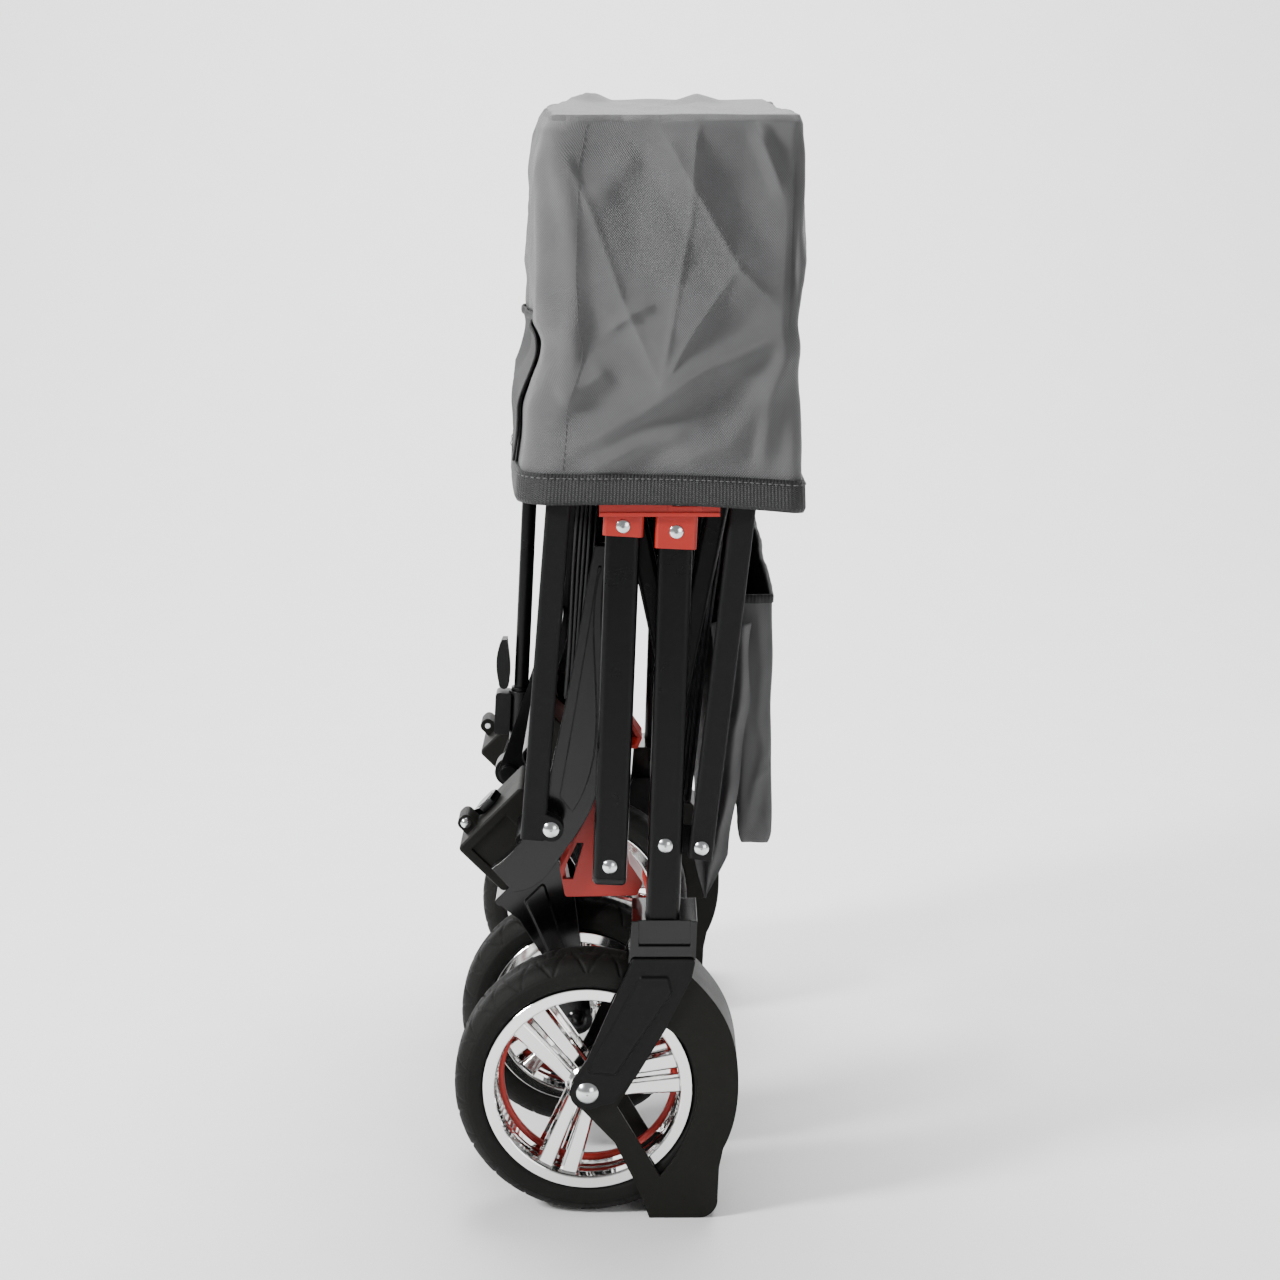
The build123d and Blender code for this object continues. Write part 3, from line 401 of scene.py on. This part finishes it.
DROOP = 0.0045                 # the lower edge hangs unevenly by this much
TILT = 0.008                   # and it hangs this much lower at the rear than at the front
DROOP_HEIGHT = 0.06            # how far up the cover the uneven hang reaches
TILT_HEIGHT = 0.12             # and how far up the slope reaches


def cover_point(s, z, lift=0.0):
    """A point of the cover's side wall, s round its edge and at height z, with its folds."""
    x, y, nx, ny = plan_at(cover_plan, s)
    share = (x - cover_x0) / (cover_x1 - cover_x0)
    front_inset = along(FRONT_INSET, z) + CORNER_INSET * (y / COVER_HALF) ** 2
    x += (1 - share) * front_inset - share * along(REAR_INSET, z)
    rise = noise.noise(Vector((x * 22, y * 22, z * 22))) * 1.1
    rise += noise.noise(Vector((x * 60, y * 60, z * 60 + 5))) * 0.4
    if abs(ny) > 0.02:
        rise += ny * ny * side_relief(x, z, ny > 0)
    if abs(nx) > 0.02:
        rise += nx * nx * wide_relief(1 if nx > 0 else -1, y, z)
    low_fade = min(1.0, max(0.25, (z - cover_low) / 0.03))
    out = (0.6 + rise * low_fade) * MM + lift
    droop = DROOP * max(0.0, 1 - (z - cover_low) / DROOP_HEIGHT) * (0.5 + 0.5 * math.sin(x * 22 + y * 9))
    tilt = TILT * share * max(0.0, 1 - (z - cover_low) / TILT_HEIGHT)
    return Vector((x + nx * out, y + ny * out, z - droop - tilt))


COVER_STEP = 0.0024
cover_columns = round(COVER_EDGE / COVER_STEP)
WALL_TOP = cover_top - 0.008
wall_rows = round((WALL_TOP - cover_low) / COVER_STEP)
CAP_RINGS = 26
CAP_CENTRE = Vector((0.035, 0.0))


def top_height(x, y):
    """The cover's top: it sags between the frame's ends and is pushed up by what is under it."""
    across = 1 - (2 * (x - CAP_CENTRE.x) / 0.18) ** 2
    sag = -0.006 * max(0.0, across) * max(0.0, 1 - (y / COVER_HALF) ** 2)
    point = Vector((x, y))
    bump = 0.0085 * math.exp(-((point - Vector((-0.030, 0.235))).length / 0.016) ** 2)
    bump += 0.0075 * max(0.0, 1 - (point - Vector((0.060, 0.190))).length / 0.030)
    bump += fold(point, line((0.058, -0.285), (0.050, -0.1), (0.062, 0.1), (0.060, 0.24)), 0.004, 0.03)
    bump += fold(point, line((-0.02, -0.25), (0.06, -0.05), (0.0, 0.2)), 0.003, 0.02)
    bump += noise.noise(Vector((x * 25, y * 25, 3))) * 0.0018
    return cover_top - 0.003 + sag + bump


def cover():
    """One fabric box, open below: creased walls, a rounded upper edge and a sagging top."""
    points, uv = [], []
    for row in range(wall_rows + 1):
        z = cover_low + 0.002 + (WALL_TOP - cover_low - 0.002) * row / wall_rows
        for column in range(cover_columns):
            s = COVER_EDGE * column / cover_columns
            points.append(cover_point(s, z))
            uv.append((s, z))
    rim = points[-cover_columns:]
    for ring in range(1, CAP_RINGS + 1):
        share = (ring / CAP_RINGS) ** 1.25
        for column, edge in enumerate(rim):
            x = edge.x + (CAP_CENTRE.x - edge.x) * share
            y = edge.y * (1 - share)
            inward = min(1.0, (edge - Vector((x, y, edge.z))).length / 0.011)
            rounding = 1 - math.sqrt(max(0.0, 1 - (1 - inward) ** 2))
            level = top_height(x, y)
            points.append(Vector((x, y, level - (level - edge.z) * rounding)))
            uv.append((x, y))
    centre = len(points) - cover_columns
    faces = grid_faces(wall_rows + CAP_RINGS + 1, cover_columns, True)
    faces.append(tuple(range(centre, centre + cover_columns)))
    made = piece("cover_shell", points, faces, cover_cloth, "cover", uv)
    thicken(made, 0.0009)
    return made


def cover_binding():
    """The black webbing folded round the cover's lower edge."""
    section = ((-0.0022, 0.0210), (0.0016, 0.0215), (0.0022, 0.0180), (0.0022, 0.0030), (0.0008, 0.0003),
               (-0.0008, 0.0003), (-0.0022, 0.0030), (-0.0024, 0.0180))
    columns = 520
    points, uv = [], []
    lengths = [0.0]
    for a, b in zip(section, section[1:] + section[:1]):
        lengths.append(lengths[-1] + math.dist(a, b))
    for column in range(columns):
        s = COVER_EDGE * column / columns
        wave = noise.noise(Vector((s * 9, 0.5, 0.5))) * 0.0009
        for index, (out, up) in enumerate(section):
            points.append(cover_point(s, cover_low + up, out + 0.0002 + wave * up / 0.02))
            uv.append((s, lengths[index]))
    count = len(section)
    faces = []
    for column in range(columns):
        after = (column + 1) % columns
        for index in range(count):
            then = (index + 1) % count
            faces.append((column * count + index, column * count + then, after * count + then,
                          after * count + index))
    return piece("cover_binding", points, faces, webbing, "cover", uv)


def dashes(name, places, finish, body, thick=0.00045):
    """Sewing stitches: a short rounded bar for each place, which is its two ends and its way out."""
    points, faces = [], []
    for a, b, out in places:
        way = (b - a).normalized()
        side = way.cross(out).normalized() * thick
        rise = out.normalized() * thick
        first = len(points)
        for end, share in ((a, 0.4), (a + way * 0.0005, 1.0), (b - way * 0.0005, 1.0), (b, 0.4)):
            for corner in range(6):
                angle = TURN * corner / 6
                points.append(end + side * math.cos(angle) * share + rise * (0.3 + math.sin(angle) * share))
        faces += grid_faces(4, 6, True, first)
        faces.append(tuple(first + corner for corner in reversed(range(6))))
        faces.append(tuple(first + 18 + corner for corner in range(6)))
    return piece(name, points, faces, finish, body)


def cover_stitches():
    """Two stitched corner seams in front, and the row that holds the binding."""
    places = []
    pitch, stitch = 0.0046, 0.0031
    hem_row = cover_low + 0.0185
    front_corner = cover_plan[0][0] + cover_plan[1][0]
    for s in (front_corner + 0.006, COVER_EDGE - front_corner - 0.006):
        z = cover_low + 0.024
        while z < WALL_TOP - 0.004:
            a, b = cover_point(s, z, 0.0002), cover_point(s, z + stitch, 0.0002)
            places.append((a, b, a - cover_point(s, z, -0.002)))
            z += pitch
    s = 0.0
    while s < COVER_EDGE - pitch:
        a, b = cover_point(s, hem_row, 0.0026), cover_point(s + stitch, hem_row, 0.0026)
        places.append((a, b, a - cover_point(s, hem_row, -0.002)))
        s += pitch
    return dashes("cover_stitches", places, thread_grey, "cover")


EDGE_SIDES = 8                 # corners of the section of the flap's binding


def flatten_with_fold(obj):
    """Gives the piece its own copy of its mesh; nothing is flattened."""
    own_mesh(obj)


def cover_flap():
    """A darker flap sewn low on the front of the cover, and the binding round its three free edges."""
    half, foot, head, corner = 0.232, cover_low + 0.0215, 0.660, 0.012
    edge_lift = 0.0034
    rows, columns = 34, 150
    points, uv = [], []
    for row in range(rows + 1):
        z = foot + (head - foot) * row / rows
        over = max(0.0, z - (head - corner))
        reach = half - corner + math.sqrt(max(0.0, corner ** 2 - over ** 2))
        for column in range(columns + 1):
            s = reach * (2 * column / columns - 1)
            points.append(cover_point(s, z, 0.0016 + 0.0022 * (z - foot) / (head - foot)))
            uv.append((s, z))
    made = piece("cover_flap", points, grid_faces(rows + 1, columns + 1, False), flap_cloth, "cover",
                 uv)
    thicken(made, 0.0011)
    path = [(-half, foot + 0.001 * i) for i in range(0, round((head - corner - foot) / 0.001), 3)]
    path += [(-half + corner - corner * math.cos(t / 8 * math.pi / 2), head - corner +
              corner * math.sin(t / 8 * math.pi / 2)) for t in range(9)]
    path += [(-half + corner + (half - corner) * i / 60, head) for i in range(1, 61)]
    path += [(-s, z) for s, z in reversed(path[:-1])]
    edge_points, edge_uv = [], []
    for index, (s, z) in enumerate(path):
        centre = cover_point(s, z, edge_lift)
        outward = (centre - cover_point(s, z, 0)).normalized()
        before = cover_point(*path[max(0, index - 1)], edge_lift)
        after = cover_point(*path[min(len(path) - 1, index + 1)], edge_lift)
        across = outward.cross(after - before).normalized()
        for side in range(EDGE_SIDES):
            angle = TURN * side / EDGE_SIDES
            flat_way = across * 0.0032 * math.cos(angle)
            thick_way = outward * 0.0012 * math.sin(angle)
            edge_points.append(centre + flat_way + thick_way)
            edge_uv.append((index * 0.003, side * 0.0015))
    edge_faces = grid_faces(len(path), EDGE_SIDES, True)
    edge_faces.append(tuple(reversed(range(EDGE_SIDES))))
    edge_faces.append(tuple(len(edge_points) - EDGE_SIDES + i for i in range(EDGE_SIDES)))
    piece_edge = piece("cover_flap_binding", edge_points, edge_faces, webbing, "cover", edge_uv)
    for each in (made, piece_edge):
        flatten_with_fold(each)


shell = cover()
binding = cover_binding()
stitches = cover_stitches()
cover_flap()
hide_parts("storage_cover")
for each in (shell, binding, stitches):
    flatten_with_fold(each)

# ---------------------------------------------------------------- tyres


BLOCK_STEPS = 32               # steps round the tyre for each block of its tread
GROOVE_DEPTH = 0.0012
GROOVE_WIDTH = 0.045           # half a groove's width, as a share of a block
WALL_POINTS = 7                # points of the section on each side wall


def tyre(node_name, body):
    """A tyre with a smooth wall and leaf-shaped grooves across its tread and shoulders."""
    low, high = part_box(node_name)
    centre = Vector(((low[0] + high[0]) / 2, (low[1] + high[1]) / 2, (low[2] + high[2]) / 2))
    radius = (high[0] - low[0]) / 2
    half = (high[1] - low[1]) / 2
    seat = radius - 0.0215
    profile = [(seat, -half + 0.003), (seat + 0.0015, -half + 0.0006), (seat + 0.004, -half),
               (radius - 0.012, -half), (radius - 0.0100, -half + 0.0002), (radius - 0.0094, -half + 0.0011),
               (radius - 0.0085, -half + 0.0009)]
    tread = 22
    for index in range(tread + 1):
        angle = math.pi * (index / tread - 0.5)
        bulge = math.copysign(abs(math.sin(angle)) ** 0.75, angle)
        drop = 0.0075 * abs(bulge) ** 5 + 0.0008 * bulge ** 2
        profile.append((radius - drop, bulge * (half - 0.0012)))
    profile += [(r, -y) for r, y in reversed(profile[:WALL_POINTS])]
    blocks = round(TURN * radius / 0.029)
    turns = blocks * BLOCK_STEPS
    points = []
    for step in range(turns):
        angle = TURN * step / turns
        for index, (r, y) in enumerate(profile):
            cut = 0.0
            if WALL_POINTS <= index <= WALL_POINTS + tread:
                reach = abs(y) / half
                phase = (step / BLOCK_STEPS + (0.5 if y > 0 else 0)) % 1.0
                for bend in (-1, 1):
                    groove = (0.5 + bend * (0.46 * (1 - reach) ** 0.7)) % 1.0
                    gap = min(abs(phase - groove), 1 - abs(phase - groove))
                    cut = max(cut, max(0.0, 1 - gap / GROOVE_WIDTH))
                if reach < 0.12:
                    cut = max(cut, 1 - reach / 0.12)
            depth = r - GROOVE_DEPTH * min(1.0, 1.8 * cut)
            points.append((centre.x + depth * math.cos(angle), centre.y + y,
                           centre.z + depth * math.sin(angle)))
    faces = grid_faces(turns, len(profile), False)
    count = len(profile)
    last = (turns - 1) * count
    faces += [(last + i, last + i + 1, i + 1, i) for i in range(count - 1)]
    faces += [(step * count, (step + 1) % turns * count, (step + 1) % turns * count + count - 1,
               step * count + count - 1) for step in range(turns)]
    made = piece(node_name + "_tread", points, faces, rubber, body)
    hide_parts(node_name)
    return made


# ---------------------------------------------------------------- rims


def lathe(profile, centre, turns=120):
    """Points and faces of a closed section (radius, across) turned about the wheel's axle."""
    points = [Vector((centre.x + r * math.cos(TURN * t / turns), centre.y + y,
                      centre.z + r * math.sin(TURN * t / turns))) for t in range(turns) for r, y in profile]
    count = len(profile)
    faces = []
    for t in range(turns):
        after = (t + 1) % turns
        for i in range(count):
            then = (i + 1) % count
            faces.append((t * count + i, after * count + i, after * count + then, t * count + then))
    return points, faces


def blade(centre, angle, shift, half_width, inner, outer, face_in, face_out, depth):
    """One spoke blade from the hub to the lip; its face slopes and its edges are chamfered."""
    away = Vector((math.cos(angle), 0, math.sin(angle)))
    side = Vector((-math.sin(angle), 0, math.cos(angle)))
    sign = -1
    points = []
    rows = 8
    for row in range(rows + 1):
        share = row / rows
        reach = inner + (outer - inner) * share
        wide = half_width * (0.82 + 0.36 * share)
        face = face_in + (face_out - face_in) * share ** 1.5
        offset = shift * (0.75 + 0.35 * share)
        for across, back in ((-1, depth), (-1, 0.003), (-0.7, 0.0), (0.7, 0.0), (1, 0.003), (1, depth)):
            place = centre + away * reach + side * (offset + wide * across)
            points.append(place + Vector((0, sign * (face - back), 0)))
    faces = grid_faces(rows + 1, 6, True)
    faces.append(tuple(range(6)))
    faces.append(tuple(rows * 6 + i for i in reversed(range(6))))
    return points, faces


def rim(node_name, body, first_spoke, width):
    """A chrome rim: bright lip rings, a deep barrel and three slotted double spokes on each side."""
    low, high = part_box(node_name)
    centre = Vector(((low[0] + high[0]) / 2, (low[1] + high[1]) / 2, (low[2] + high[2]) / 2))
    seat = (high[0] - low[0]) / 2
    half = width / 2
    wall = [(seat, -half + 0.004), (seat - 0.0005, -half), (seat - 0.0085, -half - 0.0002),
            (seat - 0.0095, -half + 0.0012), (seat - 0.0105, -half + 0.007), (seat - 0.0085, -half + 0.013),
            (seat - 0.0075, 0)]
    wall += [(r, -y) for r, y in reversed(wall[:-1])]
    points, faces = lathe(wall, centre)
    hub = [(0.0066, -half + 0.006), (0.013, -half + 0.006), (0.0155, -half + 0.0085), (0.017, -half + 0.014),
           (0.017, half - 0.014), (0.0155, half - 0.0085), (0.013, half - 0.006), (0.0066, half - 0.006)]
    parts = [lathe(hub, centre, 48)]
    for spoke in range(3):
        angle = first_spoke + TURN * spoke / 3
        for shift in (-0.0088, 0.0088):
            for face in (1, -1):
                made = blade(centre, angle, shift, 0.0063, 0.012, seat - 0.0085, half - 0.0085,
                             half - 0.004, 0.007)
                if face == -1:
                    flipped = [Vector((p.x, 2 * centre.y - p.y, p.z)) for p in made[0]]
                    made = (flipped, [tuple(reversed(f)) for f in made[1]])
                parts.append(made)
    for extra_points, extra_faces in parts:
        first = len(points)
        points += extra_points
        faces += [tuple(first + i for i in f) for f in extra_faces]
    made = piece(node_name + "_chrome", points, faces, chrome, body)
    for polygon in made.data.polygons:
        polygon.use_smooth = False
    bake_modifier(made, "BEVEL", width=0.0004, segments=1, limit_method="ANGLE", angle_limit=0.6)
    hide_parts(node_name)
    inward = -1 if centre.y > 0 else 1
    ring = [(seat - 0.0108, inward * 0.004), (seat - 0.0108, inward * 0.009), (seat - 0.0150, inward * 0.009),
            (seat - 0.0150, inward * 0.004)]
    red_points, red_faces = lathe(ring, centre)
    piece(node_name + "_ring", red_points, red_faces, red, body)
    return made


for side in ("left", "right"):
    tyre("rear_tyre_" + side, side + "_rear_wheel")
    tyre("front_tyre_" + side, side + "_front_wheel")
    rim("rear_rim_" + side, side + "_rear_wheel", math.radians(130), 0.049)
    rim("front_rim_" + side, side + "_front_wheel", math.radians(100), 0.042)

# ---------------------------------------------------------------- tub walls, curtains, mats and pouch


def wall(node_name, body, lean_low, lean_high, finish, thickness, seed):
    """A fabric wall of the tub that hangs between two heights, slightly quilted by its inner board."""
    low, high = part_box(node_name)
    rows, columns = 60, 70
    half = high[1]
    points, uv = [], []
    for row in range(rows + 1):
        share = row / rows
        z = low[2] + 0.003 + (high[2] - low[2] - 0.006) * share
        x = lean_low + (lean_high - lean_low) * share
        for column in range(columns + 1):
            y = -half + 2 * half * column / columns
            swell = noise.noise(Vector((y * 9, z * 9, seed))) * 0.0022
            swell += noise.noise(Vector((y * 30, z * 12, seed + 4))) * 0.0007
            points.append(Vector((x + swell, y, z)))
            uv.append((y, z))
    made = piece(node_name + "_cloth", points, grid_faces(rows + 1, columns + 1, False), finish, body,
                 uv)
    thicken(made, thickness)
    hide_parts(node_name)
    return made


def lean_ends(node_name, margin):
    """The middle of a leaning panel at its foot and its head, from its box."""
    low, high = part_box(node_name)
    return low[0] + margin, high[0] - margin


wall("tub_rear_wall", "rear_uprights", *lean_ends("tub_rear_wall", 0.0045), tub_cloth, 0.0014, 1)
wall("tub_front_wall", "front_uprights", *lean_ends("tub_front_wall", 0.004), dark_cloth, 0.0014, 2)


def curtain(node_name, body, finish):
    """A tub side gathered beside its post: tight upright pleats that wander and pinch."""
    low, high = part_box(node_name)
    rows, columns = 70, 90
    pleats, depth, spread = 4.5, 0.0075, 0.018
    weave_width = 0.40         # how much of the weave's pattern the sheet carries across
    middle_y = (high[1] + 0.206) / 2
    sheets = []
    for sign in (-1, 1):
        points, uv = [], []
        for row in range(rows + 1):
            share = row / rows
            z = low[2] + 0.004 + (high[2] - low[2] - 0.008) * share
            centre = low[0] + 0.012 + (high[0] - low[0] - 0.024) * share
            pinch = 0.75 + 0.25 * noise.noise(Vector((sign * 3, z * 11, 2)))
            for column in range(columns + 1):
                across = column / columns - 0.5
                x = centre + across * spread * pinch
                wander = noise.noise(Vector((across * 3, z * 10, sign * 5))) * 1.1
                y = middle_y + math.sin(TURN * pleats * across + wander) * depth * pinch
                x += math.sin(2 * TURN * pleats * across + wander) * 0.0012
                points.append(Vector((x, sign * y, z)))
                uv.append((across * weave_width, z))
        sheets.append((points, uv))
    points = sheets[0][0] + sheets[1][0]
    uv = sheets[0][1] + sheets[1][1]
    count = len(sheets[0][0])
    faces = grid_faces(rows + 1, columns + 1, False) + grid_faces(rows + 1, columns + 1, False, count)
    made = piece(node_name + "_pleats", points, faces, finish, body, uv)
    thicken(made, 0.0006)
    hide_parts(node_name)
    return made


curtain("tub_rear_sides", "rear_uprights", tub_cloth)
curtain("tub_front_sides", "front_uprights", dark_cloth)


def flank(name, body, finish):
    """Tub fabric that bulges out beside the foot of each rear post and hangs to a point below."""
    tip, shoulder, head = 0.2375, 0.272, 0.447
    rows, columns = 90, 60
    points, uv, faces = [], [], []
    for sign in (-1, 1):
        first = len(points)
        for row in range(rows + 1):
            z = tip + (head - tip) * row / rows
            open_share = min(1.0, max(0.06, (z - tip) / (shoulder - tip)))
            centre = 0.0605 + 0.018 * min(1.0, (z - tip) / 0.15)
            slack = 0.8 + 0.35 * noise.noise(Vector((sign * 2, z * 16, 7)))
            for column in range(columns + 1):
                across = column / columns - 0.5
                bend = 6.5 * across + 2.2 * noise.noise(Vector((across * 2, z * 14, sign)))
                x = centre + across * 0.030 * open_share * min(1.0, slack + 0.1)
                y = 0.2485 + math.sin(bend) * 0.0068 * slack * open_share
                y += noise.noise(Vector((x * 120, z * 60, 4))) * 0.0012
                y += abs(noise.noise(Vector((x * 45, z * 28, sign * 3)))) * 0.0045 * open_share
                points.append(Vector((x, sign * y, z)))
                uv.append((across * 0.045, z))
        faces += grid_faces(rows + 1, columns + 1, False, first)
    made = piece(name, points, faces, finish, body, uv)
    thicken(made, 0.0007)
    return made


flank("tub_rear_flanks", "rear_uprights", tub_cloth)


def mat(node_name, body):
    """A thin padded floor panel, with quilting channels sewn across it."""
    low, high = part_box(node_name)
    rows, columns = 60, 90
    half = high[1] - 0.001
    depth = 0.0042
    points = []
    for sign in (-1, 1):
        for row in range(rows + 1):
            share = row / rows
            z = low[2] + 0.001 + (high[2] - low[2] - 0.002) * share
            x = low[0] + 0.0048 + (high[0] - low[0] - 0.0096) * share
            for column in range(columns + 1):
                y = -half + 2 * half * column / columns
                edge = min(1.0, 12 * min(share, 1 - share), 12 * (1 - abs(y) / half))
                channel = abs(math.sin(math.pi * share * 5)) ** 0.35
                swell = depth * (0.25 + 0.75 * math.sqrt(max(0.0, edge)) * (0.55 + 0.45 * channel))
                points.append(Vector((x + sign * swell, y, z)))
    count = (rows + 1) * (columns + 1)
    faces = [tuple(reversed(f)) for f in grid_faces(rows + 1, columns + 1, False)]
    faces += grid_faces(rows + 1, columns + 1, False, count)
    wide = columns + 1
    border = [c for c in range(wide)] + [r * wide + columns for r in range(1, rows + 1)]
    border += [rows * wide + c for c in reversed(range(columns))]
    border += [r * wide for r in reversed(range(1, rows))]
    for a, b in zip(border, border[1:] + border[:1]):
        faces.append((a, b, b + count, a + count))
    made = piece(node_name + "_quilt", points, faces, dark_mat, body,
                 [(p.y, p.z) for p in points])
    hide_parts(node_name)
    return made


mat("rear_floor_mat", "rear_frame")
mat("front_floor_mat", "front_rails")


POUCH_FOLDS = (
    (line((0.098, 0.470), (0.103, 0.410), (0.099, 0.372), (0.104, 0.345), (0.098, 0.325),
          (0.093, 0.290)), 2.6, 5),
    (line((0.098, 0.325), (0.108, 0.335)), 1.8, 4),
    (line((0.104, 0.300), (0.112, 0.288)), 1.4, 5),
)


def pouch():
    """The storage pouch behind the tub: a boxed fabric pocket, open on top, crumpled in front."""
    low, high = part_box("rear_pouch")
    plan = rounded_plan(low[0] + 0.0015, high[0] - 0.0005, high[1] - 0.001, 0.004, 0.003)
    edge = plan_length(plan)
    columns = 440
    rows = 66
    points, uv = [], []
    for row in range(rows + 1):
        z = low[2] + 0.003 + (high[2] - low[2] - 0.003) * row / rows
        foot = max(0.0, 1 - (z - low[2]) / 0.012)
        for column in range(columns):
            s = edge * column / columns
            x, y, nx, ny = plan_at(plan, s)
            rise = noise.noise(Vector((x * 30, y * 14, z * 14 + 9))) * 0.0022
            rise -= noise.noise(Vector((x * 90, y * 40, z * 30))) * 0.0008
            rise += ny * ny * noise.noise(Vector((x * 110, 1, z * 45))) * 0.0014
            rise += ny * ny * MM * sum(fold(Vector((x, z)), path, height, width * MM)
                                       for path, height, width in POUCH_FOLDS)
            rise -= 0.004 * foot ** 2
            points.append(Vector((x + nx * rise, y + ny * rise, z)))
            uv.append((s, z))
    bottom = []
    for ring in range(1, 5):
        share = ring / 4
        for p in points[:columns]:
            bottom.append(Vector((p.x + (0.097 - p.x) * share, p.y * (1 - 0.06 * share), low[2] + 0.003)))
    faces = grid_faces(rows + 1, columns, True)
    first = len(points)
    points += bottom
    uv += [(p.x, p.y) for p in bottom]
    for column in range(columns):
        after = (column + 1) % columns
        faces.append((column, first + column, first + after, after))
    faces += [tuple(reversed(f)) for f in grid_faces(4, columns, True, first)]
    made = piece("pouch_shell", points, faces, tub_cloth, "rear_uprights", uv)
    thicken(made, 0.0012)
    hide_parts("rear_pouch")
    rim_points, rim_uv = [], []
    section = ((0.0010, -0.006), (0.0013, -0.001), (0.0004, 0.0003), (-0.0016, 0.0003), (-0.0024, -0.001),
               (-0.0022, -0.006))
    top = points[rows * columns:(rows + 1) * columns]
    for column, p in enumerate(top):
        x, y, nx, ny = plan_at(plan, edge * column / columns)
        for out, up in section:
            rim_points.append(Vector((p.x + nx * out, p.y + ny * out, p.z + up)))
            rim_uv.append((edge * column / columns, up + out))
    count = len(section)
    rim_faces = []
    for column in range(columns):
        after = (column + 1) % columns
        for i in range(count):
            then = (i + 1) % count
            rim_faces.append((column * count + i, after * count + i, after * count + then,
                              column * count + then))
    binding_rim = piece("pouch_binding", rim_points, rim_faces, webbing, "rear_uprights",
                        rim_uv)
    return made


pouch()

# ---------------------------------------------------------------- studio


def floor():
    """A pale floor that sweeps up far behind the wagon."""
    points, faces = [], []
    steps = 24
    path = [(-6.0, 0.0), (1.2, 0.0)]
    for step in range(1, steps + 1):
        angle = math.pi / 2 * step / steps
        path.append((1.2 + 1.5 * math.sin(angle), 1.5 - 1.5 * math.cos(angle)))
    path.append((2.7, 6.0))
    for y, z in path:
        points += [(-7, y, z), (7, y, z)]
    for row in range(len(path) - 1):
        faces.append((2 * row, 2 * row + 1, 2 * row + 3, 2 * row + 2))
    mesh = bpy.data.meshes.new("studio_floor")
    mesh.from_pydata(points, [], faces)
    for polygon in mesh.polygons:
        polygon.use_smooth = True
    paper = moulded("studio_paper", (0.86, 0.86, 0.86), 0.7, spread=0.01)
    mesh.materials.append(paper)
    made = bpy.data.objects.new("studio_floor", mesh)
    bpy.context.scene.collection.objects.link(made)


def soft_light(name, place, target, size, energy):
    """A square studio light that looks at a target."""
    lamp = bpy.data.lights.new(name, "AREA")
    lamp.size = size
    lamp.energy = energy
    made = bpy.data.objects.new(name, lamp)
    bpy.context.scene.collection.objects.link(made)
    made.location = place
    made.rotation_euler = (Vector(target) - Vector(place)).to_track_quat("-Z", "Y").to_euler()


floor()
soft_light("key_light", (-2.3, -1.3, 1.9), (0, 0, 0.5), 0.6, 130)
soft_light("fill_light", (1.6, -2.6, 0.9), (0, 0, 0.4), 1.2, 22)
soft_light("top_light", (0.2, 0.6, 2.8), (0, 0, 0.4), 1.4, 60)
soft_light("paper_light", (0.0, 1.2, 3.2), (0, 2.5, 0.8), 2.0, 150)
world = bpy.data.worlds.new("studio_world")
world.use_nodes = True
world.node_tree.nodes["Background"].inputs["Color"].default_value = (1, 1, 1, 1)
world.node_tree.nodes["Background"].inputs["Strength"].default_value = 0.3
bpy.context.scene.world = world

CAMERA_PLACE = (0.012, -2.2335, 0.856)
CAMERA_TILT = 12
camera_data = bpy.data.cameras.new("camera")
camera_data.lens = 78.1
camera_data.sensor_width = 36.0
camera = bpy.data.objects.new("camera", camera_data)
camera.location = CAMERA_PLACE
camera.rotation_euler = (math.radians(90 - CAMERA_TILT), 0, 0)
bpy.context.scene.collection.objects.link(camera)
bpy.context.scene.camera = camera
